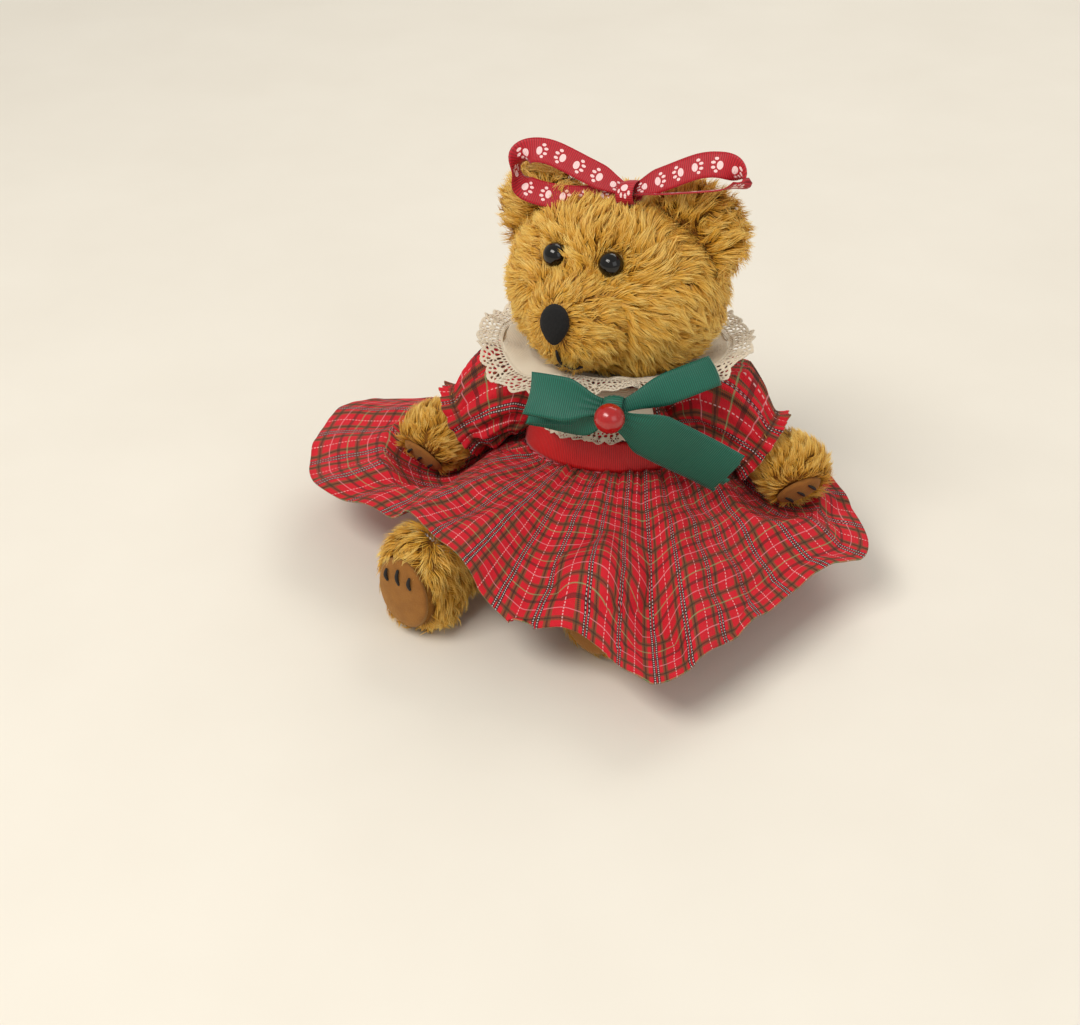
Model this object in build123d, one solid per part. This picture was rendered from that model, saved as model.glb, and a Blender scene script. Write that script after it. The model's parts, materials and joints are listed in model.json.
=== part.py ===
"""Jointed plush teddy bear in a tartan dress, sitting. Millimetres, +Z up.

Origin: centre of the flat seat underside. +X is the bear's own left, -Y is forward.
The upper body is modelled upright and then leaned back as one, about the origin.
"""
from build123d import *
import os
from math import cos, sin, radians, degrees, sqrt, pi, hypot, exp, atan2

os.makedirs("parts", exist_ok=True)

# ---- driving dimensions --------------------------------------------------------------
LEAN = 11.0                # the torso leans back from upright
HEAD_TURN = -18.0          # rest pose: the face is turned to the bear's right
PLUSH = 2.5                # backing cloth and the packed root of the pile
SLACK = 0.6                # gap between the two cloth faces of a joint

# torso: radius and height of the upright outline, from below the seat to the neck
TORSO = [(30, -10), (38, 6), (40, 22), (38, 40), (34, 54), (32, 66), (27, 79), (17, 90)]
NECK_Z = TORSO[-1][1]

# head: an ellipsoid as wide as it is, with a muzzle and a flat neck
HEAD_Z = 122.0             # centre of the head along the body axis
HEAD_HALF_WIDTH = 45.0
HEAD_RADIUS = 39.0
MUZZLE_LENGTH = 22.0
MUZZLE_RADIUS = 20.0
MUZZLE_CENTRE = (0, -32, HEAD_Z - 6)
EAR_RADIUS = 19.0
EAR_THICK = 10.0
EYE_RADIUS = 5.0
EYE_SPREAD = 12.5
EYE_RISE = 18.0
NOSE_HEIGHT = 16.0
NOSE_WIDTH = 11.0

# hips and legs
HIP_Z = 24.0
HIP_X = 33.0
HIP_Y = 6.0
LEG_SPLAY_RIGHT = 25.0     # toward the bear's right, from straight ahead
LEG_SPLAY_LEFT = 18.0      # also toward the bear's right
LEG_LENGTH = 91.0          # hip axis to sole
LEG_WIDTH = 26.0
THIGH_RADIUS = 22.5
FOOT_RADIUS = HIP_Z        # the heel rests on the ground
PAD_THICK = 1.5

# shoulders and arms
SHOULDER_X = 28.0
SHOULDER_Z = 69.0
SHOULDER_TILT = 36.0       # joint axis above the horizontal
ARM_LENGTH = 46.0          # shoulder axis to paw centre
ARM_WIDTH = 24.0
SHOULDER_RADIUS = 13.0
PAW_RADIUS = 15.5
PAW_OUT = 26.0             # paw centre outward of the joint face
ARM_LIFT = 40.0            # travel from resting on the skirt to the collar
SLEEVE_LENGTH = 30.0

# disc joints
DISC = 2.5
HIP_DISC_RADIUS = 14.0
SHOULDER_DISC_RADIUS = 7.5
NECK_DISC_RADIUS = 9.5
STEM_RADIUS = 2.5
WASHER_RADIUS = 6.0
RUN_FIT = 0.3              # stem in a body disc

# clothes
CLOTH = 1.2
SKIN_GAP = 0.15            # between a cloth layer and what it lies on
WAIST_Z = 54.0
SASH_WIDTH = 12.7
RIBBON = 0.8
COLLAR_INNER = 20.0
COLLAR_OUTER = 42.0
LACE_OUTER = 50.0
WIDE_RIBBON = 22.0
HAIR_RIBBON = 10.0
BEAD_RADIUS = 6.0

lean = Rot(X=-LEAN)


# ---- shared shapes -------------------------------------------------------------------
def turned(grow):
    """Upright torso outline, spun about Z, with its radius grown by grow."""
    outline = [(radius + grow, height) for radius, height in TORSO]
    side = Spline(*[(radius, 0, height) for radius, height in outline])
    foot, top = outline[0][1], outline[-1][1]
    spine = Polyline(side @ 1, (0, 0, top), (0, 0, foot), side @ 0)
    return revolve(make_face([side, spine]), Axis.Z)


def egg(x_radius, y_radius, z_radius, poles=Rot(X=37, Y=29)):
    """Ellipsoid, its poles turned away from the cutting planes."""
    return scale(poles * Sphere(1), by=(x_radius, y_radius, z_radius))


def slab(low, high, half=200):
    """Everything between two heights."""
    return Pos(0, 0, (low + high) / 2) * Box(2 * half, 2 * half, high - low)


def disc(radius, low, high, bore=0.0):
    """Round plate about the local Y axis, from low to high along it."""
    plate = Cylinder(radius, high - low)
    if bore:
        plate -= Cylinder(bore, high - low)
    return Pos(0, (low + high) / 2, 0) * Rot(X=90) * plate


def first(shape):
    """Largest solid of a shape, so that each piece is written as one closed solid."""
    return max(shape.solids(), key=lambda solid: solid.volume)


def save(shape, name):
    export_step(shape, f"parts/{name}.step")


# ---- joint frames: local X down the limb, local Y along the joint axis ---------------
def limb_ahead(splay):
    return Vector(-sin(radians(splay)), -cos(radians(splay)), 0)


def hip_frame(side):
    """side is +1 on the bear's left; local +Y is outward on the left leg."""
    ahead = limb_ahead(LEG_SPLAY_LEFT if side > 0 else LEG_SPLAY_RIGHT)
    outward = Vector(0, 0, 1).cross(ahead) * side
    centre = Vector(side * HIP_X, HIP_Y, HIP_Z) - outward * (LEG_WIDTH / 2)
    return Location(Plane(centre, x_dir=ahead, z_dir=(0, 0, 1)))


def shoulder_frame(side):
    """In the upright torso's frame; the arm hangs outward, square to its axis."""
    tilt = radians(SHOULDER_TILT)
    down = Vector(side * sin(tilt), 0, -cos(tilt))
    return Location(Plane((side * SHOULDER_X, 0, SHOULDER_Z), x_dir=down, z_dir=(0, -1, 0)))


def sided(shape, side):
    """Local shapes are drawn for the left limb and mirrored for the right."""
    return shape if side > 0 else mirror(shape, Plane.XZ)


# ---- torso ---------------------------------------------------------------------------
def hip_room(inset):
    """Space that a leg needs, from lying ahead to hanging down."""
    reach = THIGH_RADIUS + 1.5 + inset
    start = -SLACK - inset
    room = disc(reach, start, 70)
    room += Pos(40, start + 35, reach - 40) * Box(80, 70, 80)
    room += Pos(0, start + 35, -40) * Box(2 * reach, 70, 80)
    return room


def shoulder_room(inset):
    return disc(SHOULDER_RADIUS + 14 + inset, -SLACK - inset, 60)


def torso_form(inset):
    """Leaned torso with its flat seat and its four joint flats, inset all over."""
    body = turned(-inset) & slab(-30, NECK_Z - inset)
    for side in (1, -1):
        body -= shoulder_frame(side) * sided(shoulder_room(inset), side)
    body = lean * body & slab(inset, 200)
    for side in (1, -1):
        body -= hip_frame(side) * sided(hip_room(inset), side)
    return body


def joint_hardware(radius):
    """Limb disc with its stem, body disc and lock washer, about local Y, limb at +Y."""
    cloth_in = -SLACK - PLUSH
    body_low = cloth_in - DISC - 0.1
    washer_low = body_low - DISC - 0.1
    limb = disc(radius, PLUSH + 0.1, PLUSH + 0.1 + DISC) + disc(STEM_RADIUS, washer_low - 1, PLUSH + 1)
    body = disc(radius, body_low, body_low + DISC, STEM_RADIUS + RUN_FIT)
    washer = disc(WASHER_RADIUS, washer_low, washer_low + DISC, STEM_RADIUS)
    return limb, body, washer


def stem_hole():
    """Bore through both cloth layers of a joint."""
    return disc(STEM_RADIUS + RUN_FIT, -30, PLUSH + 1)


def torso_pocket(radius):
    """Room in the stuffing for a body disc, a lock washer and the stem's end."""
    return disc(radius + 0.3, -SLACK - PLUSH - 2 * DISC - 2, -SLACK - PLUSH + 0.5)


NECK_FRAME = Location(Plane((0, 0, NECK_Z + SLACK), x_dir=(1, 0, 0), z_dir=(0, -1, 0)))


def joints():
    """Name, frame in the leaned model, side and disc radius of the five disc joints."""
    rows = [("neck", lean * NECK_FRAME, 1, NECK_DISC_RADIUS)]
    for side, word in ((1, "left"), (-1, "right")):
        rows.append((f"shoulder_{word}", lean * shoulder_frame(side), side, SHOULDER_DISC_RADIUS))
        rows.append((f"hip_{word}", hip_frame(side), side, HIP_DISC_RADIUS))
    return rows


def write_hardware():
    for name, frame, side, radius in joints():
        limb, body, washer = joint_hardware(radius)
        save(first(frame * sided(limb, side)), f"{name}_limb_disc")
        save(first(frame * sided(body, side)), f"{name}_body_disc")
        save(first(frame * sided(washer, side)), f"{name}_lock_washer")


def write_torso():
    outer, inner = torso_form(0), torso_form(PLUSH)
    stuffing = torso_form(PLUSH + 0.2)
    shell = outer - inner
    for _, frame, side, radius in joints():
        shell -= frame * sided(stem_hole(), side)
        stuffing -= frame * sided(torso_pocket(radius), side)
    save(first(shell), "torso_shell")
    save(first(stuffing), "torso_stuffing")


# ---- head ----------------------------------------------------------------------------
head_place = lean * Rot(Z=HEAD_TURN)


def muzzle(inset):
    radius = MUZZLE_RADIUS - inset
    return Pos(*MUZZLE_CENTRE) * egg(radius, MUZZLE_LENGTH - inset, radius, Rot(Z=90))


def head_form(inset):
    radius = HEAD_RADIUS - inset
    skull = Pos(0, 0, HEAD_Z) * egg(HEAD_HALF_WIDTH - inset, radius, radius, Rot(Z=0))
    return (skull + muzzle(inset)) & slab(NECK_Z + SLACK + inset, 300)


def eye_frame(side):
    """On the skull's surface, local Z along the outward normal."""
    x, z = side * EYE_SPREAD, EYE_RISE
    y = -HEAD_RADIUS * sqrt(1 - (x / HEAD_HALF_WIDTH) ** 2 - (z / HEAD_RADIUS) ** 2)
    normal = Vector(x / HEAD_HALF_WIDTH**2, y / HEAD_RADIUS**2, z / HEAD_RADIUS**2)
    return Location(Plane((x, y, HEAD_Z + z), z_dir=normal))


def eye():
    """Safety eye: domed front, flat back, stem."""
    dome = Sphere(EYE_RADIUS) & Pos(0, 0, 10) * Box(20, 20, 20)
    return Pos(0, 0, -1.2) * (dome + Pos(0, 0, -4) * Cylinder(1.5, 8.2))


def eye_washer():
    return Pos(0, 0, -4.6) * (Cylinder(4.5, 1.2) - Cylinder(1.5, 1.2))


def nose():
    y = MUZZLE_CENTRE[1] - MUZZLE_LENGTH
    lobe = egg(NOSE_WIDTH / 2, NOSE_WIDTH / 2, NOSE_HEIGHT / 2)
    return Pos(0, y + 0.5, HEAD_Z - 3) * lobe


def mouth():
    """One stitch down from the nose and two short curves, laid on the muzzle."""
    skin = muzzle(-0.9) - muzzle(0)
    drop = Pos(0, -60, HEAD_Z - 15.6) * Box(1.3, 60, 8)
    smile = Pos(0, -60, 0) * Rot(X=90) * (Cylinder(6.6, 60) - Cylinder(5.4, 60))
    curves = None
    for side in (1, -1):
        arc = Pos(side * 6, 0, HEAD_Z - 19.5) * smile & Pos(side * 4, -60, HEAD_Z - 26) * Box(8, 60, 13)
        curves = arc if curves is None else curves + arc
    return skin & (drop + curves) & Pos(0, -50, HEAD_Z - 17) * Box(40, 60, 24)


def ear(side):
    blank = fillet(Cylinder(EAR_RADIUS, EAR_THICK).edges().filter_by(GeomType.CIRCLE), EAR_THICK * 0.45)
    blank = Rot(X=90) * blank
    place = Pos(side * 33, -2, HEAD_Z + 25) * Rot(Z=side * 14) * Rot(Y=side * 38)
    return place * blank - head_form(-2 * SKIN_GAP)


def loop_ring(points, width):
    """Closed ribbon loop: its outline in XZ, hollow, as wide as the ribbon along Y."""
    middle_x = sum(x for x, _ in points) / len(points)
    middle_z = sum(z for _, z in points) / len(points)
    shrink = 0.86
    outer = Polyline(*[(x, 0, z) for x, z in points], close=True)
    inside = [(middle_x + (x - middle_x) * shrink, 0, middle_z + (z - middle_z) * shrink) for x, z in points]
    ring = make_face(outer) - make_face(Polyline(*inside, close=True))
    return extrude(ring, width / 2, both=True)


def hair_loop(side):
    """One loop of the hair bow, rising from the knot."""
    if side < 0:
        points = [(-1, 1.5), (-22, 15), (-42, 21), (-50, 14), (-42, 5), (-20, -2), (-1, -1.5)]
    else:
        points = [(1, 1.5), (18, 10), (36, 17), (47, 13), (44, 7), (22, 2), (1, -1.5)]
    return loop_ring(points, HAIR_RIBBON)


def hair_place(shape):
    return Pos(6, -8, HEAD_Z + 45) * Rot(Y=-4) * shape


def write_head():
    shell = head_form(0) - head_form(PLUSH)
    stuffing = head_form(PLUSH + 0.2)
    nose_solid, mouth_solid = nose(), mouth()
    shell -= nose_solid
    stuffing -= nose_solid
    stem = NECK_FRAME * stem_hole()
    pocket = NECK_FRAME * disc(NECK_DISC_RADIUS + 0.3, 0, PLUSH + DISC + 0.6)
    shell -= stem
    stuffing -= pocket
    washers = []
    for side, word in ((1, "left"), (-1, "right")):
        eye_solid = eye_frame(side) * eye()
        washer = eye_frame(side) * eye_washer()
        shell -= eye_solid
        stuffing -= eye_solid
        stuffing -= washer
        shell -= washer
        washers.append(first(head_place * washer))
        save(first(head_place * eye_solid), f"eye_{word}")
        save(first(head_place * ear(side)), f"ear_{word}")
        save(first(head_place * hair_place(hair_loop(side))), f"hair_bow_loop_{word}")
    save(Compound(children=washers), "eye_lock_washers")
    save(first(head_place * shell), "head_shell")
    save(first(head_place * stuffing), "head_stuffing")
    save(first(head_place * nose_solid), "nose")
    save(first(head_place * mouth_solid), "mouth_stitching")
    knot = fillet(Box(9, 12, 7.6).edges(), 2)
    slots = Box(20, 30, 3.6)
    knot = knot + Pos(0, 0, -4.5) * Cylinder(3, 5)
    save(first(head_place * (hair_place(knot) - head_form(0) - hair_place(slots))), "hair_bow_knot")


# ---- legs ----------------------------------------------------------------------------
SOLE_X = LEG_LENGTH - PAD_THICK
FOOT_X = LEG_LENGTH - 16


def leg_form(inset):
    mid = LEG_WIDTH / 2
    thigh = disc(THIGH_RADIUS - inset, inset, LEG_WIDTH - inset)
    thigh = fillet(thigh.edges().filter_by(GeomType.CIRCLE), 8 - inset)
    shank = Pos(42, mid, -2) * egg(46 - inset, 12.9 - inset, 17.5 - inset)
    foot = Pos(FOOT_X, mid + 1, 0) * egg(19 - inset, 19 - inset, FOOT_RADIUS - inset)
    leg = thigh + shank + foot
    leg &= Pos(20, inset + 50, 0) * Box(2 * (SOLE_X - inset - 20), 100, 100)
    return leg


def foot_pad():
    outline = Ellipse(16.5, 12.0)
    pad = extrude(Plane.YZ * Rot(Z=90) * outline, PAD_THICK)
    return Pos(SOLE_X, LEG_WIDTH / 2 + 1, 0) * pad


def stitches(count, pitch, length, rise):
    """Row of short stitches standing on a local YZ plane, along Z."""
    made = None
    for index in range(count):
        across = (index - (count - 1) / 2) * pitch
        bar = Pos(0.4, across, rise) * Box(0.8, 1.4, length)
        made = bar if made is None else made + bar
    return made


def write_leg(side, word):
    place = hip_frame(side)
    shell = leg_form(0) - leg_form(PLUSH) - stem_hole()
    stuffing = leg_form(PLUSH + 0.2) - disc(HIP_DISC_RADIUS + 0.3, 0, PLUSH + DISC + 0.6)
    marks = Pos(LEG_LENGTH, LEG_WIDTH / 2 + 1, 0) * stitches(3, 6.5, 8, 9)
    for shape, name in ((shell, "shell"), (stuffing, "stuffing"), (foot_pad(), "foot_pad")):
        label = name if name == "foot_pad" else f"leg_{name}"
        save(first(place * sided(shape, side)), f"{label}_{word}")
    save(place * sided(marks, side), f"toe_stitches_{word}")


# ---- arms ----------------------------------------------------------------------------
PALM_TILT = 40.0           # palm faces along the arm and forward
PALM_OUT = 11.5            # palm plane from the paw centre


def palm_frame():
    tilt = radians(PALM_TILT)
    facing = Vector(cos(tilt), 0, sin(tilt))
    centre = Vector(ARM_LENGTH, PAW_OUT, 0) + facing * PALM_OUT
    return Plane(centre, x_dir=(0, 1, 0), z_dir=facing)


def arm_form(inset):
    root = disc(SHOULDER_RADIUS - inset, inset, ARM_WIDTH - inset)
    root = fillet(root.edges().filter_by(GeomType.CIRCLE), 4 - inset)
    swing = degrees(atan2(PAW_OUT - ARM_WIDTH / 2, ARM_LENGTH))
    middle = (ARM_LENGTH / 2, (PAW_OUT + ARM_WIDTH / 2) / 2, 0)
    upper = Pos(*middle) * Rot(Z=swing) * egg(34 - inset, 12.5 - inset, 12.5 - inset)
    paw = Pos(ARM_LENGTH, PAW_OUT, 0) * Rot(Z=swing) * egg(18 - inset, PAW_RADIUS - inset, PAW_RADIUS - inset)
    arm = (root + upper + paw) & Pos(0, inset + 50, 0) * Box(200, 100, 100)
    return arm - Location(palm_frame().offset(-inset)) * Pos(0, 0, 20) * Box(60, 60, 40)


def paw_pad():
    return Location(palm_frame()) * extrude(Ellipse(10, 8.5), 1.2)


def claw_marks():
    made = None
    for across in (-5.5, 0, 5.5):
        bar = Pos(across, -2 + 0.06 * across * across, 1.6) * Box(1.4, 7, 0.8)
        made = bar if made is None else made + bar
    return Location(palm_frame()) * made


def sleeve():
    """Puffed sleeve with a gathered cuff, hollow over the arm, open to the dress."""
    ahead = Pos(0, 50, 0) * Box(200, 100, 100)
    puff = Pos(8, 9, 0) * egg(21, 15, 16.5) & ahead
    cuff = Pos(SLEEVE_LENGTH - 4, 20, 0) * Rot(Z=22) * Rot(Y=90) * Cone(12.6, 13.4, 7)
    middle = (ARM_LENGTH / 2, (PAW_OUT + ARM_WIDTH / 2) / 2, 0)
    swing = degrees(atan2(PAW_OUT - ARM_WIDTH / 2, ARM_LENGTH))
    hollow = Pos(*middle) * Rot(Z=swing) * egg(34.3, 12.8, 12.8)
    hollow += disc(SHOULDER_RADIUS + 0.2, -1, ARM_WIDTH + 0.2)
    hollow += Pos(ARM_LENGTH, PAW_OUT, 0) * Rot(Z=swing) * egg(18.3, PAW_RADIUS + 0.3, PAW_RADIUS + 0.3)
    return puff + cuff - hollow


def write_arm(side, word):
    place = lean * shoulder_frame(side)
    shell = arm_form(0) - arm_form(PLUSH) - stem_hole()
    stuffing = arm_form(PLUSH + 0.2) - disc(SHOULDER_DISC_RADIUS + 0.3, 0, PLUSH + DISC + 0.6)
    rows = ((shell, "arm_shell"), (stuffing, "arm_stuffing"), (paw_pad(), "paw_pad"), (sleeve(), "sleeve"))
    for shape, name in rows:
        save(first(place * sided(shape, side)), f"{name}_{word}")
    save(place * sided(claw_marks(), side), f"claw_stitches_{word}")


# ---- dress ---------------------------------------------------------------------------
def layer(inner, outer, low, high):
    """Cloth layer on the torso between two heights of the upright body."""
    return (turned(outer) - turned(inner)) & slab(low, high)


def clear_of_arms(shape):
    for side in (1, -1):
        shape -= shoulder_frame(side) * sided(shoulder_room(0), side)
    return shape


def sheet(grid, thick):
    """Closed faceted cloth from rows of points, with its underside straight below."""
    rows, cols = len(grid), len(grid[0])
    under = [[point - Vector(0, 0, thick) for point in line] for line in grid]
    faces = []

    def facet(*corners):
        faces.append(Face(Wire.make_polygon(corners)))

    for r in range(rows - 1):
        for c in range(cols - 1):
            for layer_points, flip in ((grid, False), (under, True)):
                a, b = layer_points[r][c], layer_points[r][c + 1]
                d, e = layer_points[r + 1][c], layer_points[r + 1][c + 1]
                facet(*((a, b, d) if flip else (a, d, b)))
                facet(*((b, e, d) if flip else (b, d, e)))
    rim = [(0, c) for c in range(cols - 1)] + [(r, cols - 1) for r in range(rows - 1)]
    rim += [(rows - 1, c) for c in range(cols - 1, 0, -1)] + [(r, 0) for r in range(rows - 1, 0, -1)]
    for (r, c), (s, t) in zip(rim, rim[1:] + rim[:1]):
        facet(grid[r][c], grid[s][t], under[s][t])
        facet(grid[r][c], under[s][t], under[r][c])
    return Solid(Shell(faces))


def smooth(value):
    value = min(1.0, max(0.0, value))
    return value * value * (3 - 2 * value)


# skirt hem, counter-clockwise from the opening at the centre of the back
HEM = [(3, 84, 9), (42, 76, 12), (80, 50, 20), (102, 14, 24), (111, -20, 22), (88, -44, 22),
       (73, -68, 20), (54, -98, 30), (35, -116, 14), (14, -118, 32), (-8, -108, 36), (-29, -94, 24),
       (-40, -84, 44), (-62, -66, 52), (-92, -38, 38), (-124, -18, 33), (-135, 10, 34),
       (-130, 42, 38), (-100, 66, 30), (-50, 80, 14), (-3, 84, 9)]
SKIRT_THICK = 1.6
SKIRT_STEPS = 10
SKIRT_SPOKES = 60


def leg_gap(x, y, side):
    """Distance in plan from a leg's centre line."""
    ahead = limb_ahead(LEG_SPLAY_LEFT if side > 0 else LEG_SPLAY_RIGHT)
    along = (x - side * HIP_X) * ahead.X + (y - HIP_Y) * ahead.Y
    along = min(LEG_LENGTH - 12, max(0.0, along))
    return hypot(x - side * HIP_X - along * ahead.X, y - HIP_Y - along * ahead.Y)


def arm_balls(side):
    """Centre and radius of balls that stand for a sleeve and a paw over the arm's travel."""
    balls = []
    for lift in (0, ARM_LIFT / 3, ARM_LIFT * 2 / 3, ARM_LIFT):
        place = lean * shoulder_frame(side) * Rot(Y=-lift)
        for x, y, radius in ((10, 12, 17.5), (27, 18, 15.5), (ARM_LENGTH, PAW_OUT, PAW_RADIUS + 1.5)):
            balls.append(((place * Pos(x, side * y, 0)).position, radius))
    return balls


ARM_BALLS = arm_balls(1) + arm_balls(-1)


def skirt_point(spoke, step):
    """Cloth hangs from the waist to the hem, over the legs and under the arms."""
    hem = HEM_CURVE @ spoke
    turn = pi / 2 - radians(5) - spoke * (2 * pi - radians(10))
    radius = 34 + 2.9
    upright = Vector(radius * cos(turn), radius * sin(turn), WAIST_Z - 2.2)
    waist = (lean * Pos(*upright)).position
    x = waist.X + (hem.X - waist.X) * step
    y = waist.Y + (hem.Y - waist.Y) * step
    z = waist.Z + (hem.Z - waist.Z) * step ** 1.5
    for centre, radius in ARM_BALLS:
        spread = hypot(x - centre.X, y - centre.Y)
        if spread < 1.6 * radius:
            z = min(z, centre.Z - radius + 0.42 * spread**2 / radius - 1.2)
    for side in (1, -1):
        share = min(1.0, leg_gap(x, y, side) / 21)
        z = max(z, HIP_Z + (HIP_Z + 0.5) * sqrt(1 - share * share) + SKIRT_THICK + 0.8)
    return Vector(x, y, z)


HEM_CURVE = Spline(*HEM)


def skirt():
    grid = []
    for row in range(SKIRT_STEPS + 1):
        step = row / SKIRT_STEPS
        grid.append([skirt_point(col / SKIRT_SPOKES, step) for col in range(SKIRT_SPOKES + 1)])
    return sheet(grid, SKIRT_THICK)


def collar_ring(outline, thick):
    """Round plate from (radius, height) points of its upper side."""
    upper = [(radius, 0, height) for radius, height in outline]
    lower = [(x, 0, z - thick) for x, _, z in reversed(upper)]
    return revolve(make_face(Polyline(*upper, *lower, close=True)), Axis.Z)


def write_dress():
    bodice = clear_of_arms(layer(SKIN_GAP, CLOTH, 51, 87))
    save(first(lean * bodice), "dress_bodice")
    sash = layer(CLOTH + SKIN_GAP, CLOTH + RIBBON, WAIST_Z, WAIST_Z + SASH_WIDTH)
    save(first(lean * clear_of_arms(sash)), "waist_sash")
    save(first(skirt()), "dress_skirt")
    collar = collar_ring([(COLLAR_INNER, 89.4), (27, 90.0), (36, 93.4), (COLLAR_OUTER, 93.4)], CLOTH)
    lace = collar_ring([(COLLAR_OUTER + 0.1, 93.4), (LACE_OUTER, 92.0)], CLOTH)
    save(first(lean * collar), "collar")
    save(first(lean * lace), "collar_lace")
    chest = WAIST_Z + SASH_WIDTH + 0.3
    front = Pos(0, -40, 70) * Box(40, 60, 60)
    bib = layer(CLOTH + SKIN_GAP, CLOTH + 0.8, chest, 83) & front
    save(first(lean * bib), "bib")
    frill = layer(CLOTH + 0.8 + SKIN_GAP, CLOTH + 1.6, chest, chest + 3.6) & front
    save(first(lean * frill), "bib_lace")


# ---- neck bow ------------------------------------------------------------------------
BOW = Vector(8, -57, 88)


def ribbon_strip(start, end, up, width, thick):
    """Flat strip between two points, its width along up."""
    along = end - start
    frame = Plane((start + end) / 2, x_dir=along, z_dir=along.cross(up))
    return Location(frame) * Box(along.length, width, thick)


def write_neck_bow():
    right = [(-4.4, 2), (-20, 3.2), (-34, 2.4), (-36, 0), (-32, -2.2), (-18, -2.6), (-4.4, -1.6)]
    left = [(4.4, 1.6), (20, 2.4), (38, 1.8), (42, 0), (38, -1.8), (20, -2.2), (4.4, -1.6)]
    upright = Pos(*BOW) * Rot(X=62)
    save(first(lean * upright * loop_ring(right, 16)), "neck_ribbon_loop_right")
    swept = Pos(*BOW) * Rot(Z=26) * Rot(Y=-9) * Rot(X=62)
    save(first(lean * swept * loop_ring(left, 16)), "neck_ribbon_loop_left")
    knot = fillet(Box(7.2, 6, 9).edges(), 1.6)
    save(first(lean * Pos(*BOW) * knot), "neck_ribbon_knot")
    bead = Pos(BOW.X, BOW.Y - BEAD_RADIUS - 3.1, BOW.Z) * Sphere(BEAD_RADIUS)
    save(first(lean * bead), "bow_bead")
    start, end = BOW + Vector(9, -6.5, -13), BOW + Vector(47, -2, -34)
    tail = ribbon_strip(start, end, Vector(0.4, -0.2, 1), WIDE_RIBBON - 4, RIBBON)
    save(first(lean * tail), "neck_ribbon_tail_left")
    start, end = BOW + Vector(-5, -1, -13), BOW + Vector(-32, 1, -15)
    short = ribbon_strip(start, end, Vector(0, -0.3, 1), 8, RIBBON)
    save(first(lean * short), "neck_ribbon_tail_right")


write_hardware()
write_torso()
write_head()
for side, word in ((1, "left"), (-1, "right")):
    write_leg(side, word)
    write_arm(side, word)
write_dress()
write_neck_bow()
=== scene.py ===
"""Looks of the seated jointed teddy bear in a tartan dress.

Lengths are millimetres in the functions below and become metres when a mesh is made.
The upper body is modelled upright and then leaned back, as in the part's own source.
"""
import json
import math

import bmesh
import bpy
import numpy as np
from mathutils import Matrix, Vector, kdtree
from mathutils.bvhtree import BVHTree


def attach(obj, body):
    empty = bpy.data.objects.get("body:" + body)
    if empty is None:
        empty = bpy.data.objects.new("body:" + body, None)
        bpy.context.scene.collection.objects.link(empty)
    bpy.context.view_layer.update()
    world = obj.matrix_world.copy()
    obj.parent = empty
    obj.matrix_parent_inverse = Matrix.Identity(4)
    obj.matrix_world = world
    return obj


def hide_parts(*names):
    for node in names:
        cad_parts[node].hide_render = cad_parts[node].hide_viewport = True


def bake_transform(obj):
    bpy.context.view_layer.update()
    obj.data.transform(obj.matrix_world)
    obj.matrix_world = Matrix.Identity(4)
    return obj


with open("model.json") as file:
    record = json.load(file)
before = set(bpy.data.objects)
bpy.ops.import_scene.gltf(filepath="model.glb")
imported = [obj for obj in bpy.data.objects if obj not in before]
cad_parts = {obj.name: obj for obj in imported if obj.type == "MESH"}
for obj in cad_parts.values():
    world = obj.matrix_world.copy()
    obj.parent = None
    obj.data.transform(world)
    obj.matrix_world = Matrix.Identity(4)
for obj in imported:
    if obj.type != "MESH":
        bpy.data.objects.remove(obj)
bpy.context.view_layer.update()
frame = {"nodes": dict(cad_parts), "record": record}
MM = 0.001
SIDES = ((1, "left"), (-1, "right"))

# ---- shared dimensions ---------------------------------------------------------------
LEAN_DEG, HEAD_TURN = 11.0, -18.0
TORSO = np.array([(30, -10), (38, 6), (40, 22), (38, 40), (34, 54), (32, 66), (27, 79), (17, 90)], float)
HEAD_Z, HEAD_HALF_WIDTH, HEAD_RADIUS = 122.0, 45.0, 39.0
HIP = (33.0, 6.0, 24.0)
SPLAY = {1: 18.0, -1: 25.0}
LEG_LENGTH, LEG_WIDTH = 91.0, 26.0
SHOULDER_X, SHOULDER_Z, SHOULDER_TILT = 28.0, 69.0, 36.0
ARM_LENGTH, PAW_OUT, PAW_RADIUS, ARM_LIFT = 46.0, 26.0, 15.5, 40.0
PALM_TILT, PALM_OUT, PALM_BARE = 40.0, 11.3, 11.5
BOW = np.array((8.0, -57.0, 88.0))


# ---- small maths ---------------------------------------------------------------------
def turn_matrix(axis, angle):
    return np.array(Matrix.Rotation(math.radians(angle), 3, axis))


LEAN = turn_matrix("X", -LEAN_DEG)
HEAD = LEAN @ turn_matrix("Z", HEAD_TURN)


def leaned(points):
    return np.asarray(points, float) @ LEAN.T


def on_head(points):
    return np.asarray(points, float) @ HEAD.T


def unit(rows):
    rows = np.asarray(rows, float)
    return rows / np.maximum(np.linalg.norm(rows, axis=-1, keepdims=True), 1e-9)


def ahead_of(side):
    angle = math.radians(SPLAY[side])
    return np.array((-math.sin(angle), -math.cos(angle), 0.0))


def leg_axes(side):
    """Origin on the joint face, then the directions ahead, outward and up."""
    ahead = ahead_of(side)
    outward = np.cross((0, 0, 1), ahead) * side
    centre = np.array((side * HIP[0], HIP[1], HIP[2]))
    return centre - outward * LEG_WIDTH / 2, np.array((ahead, outward, (0, 0, 1)))


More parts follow.
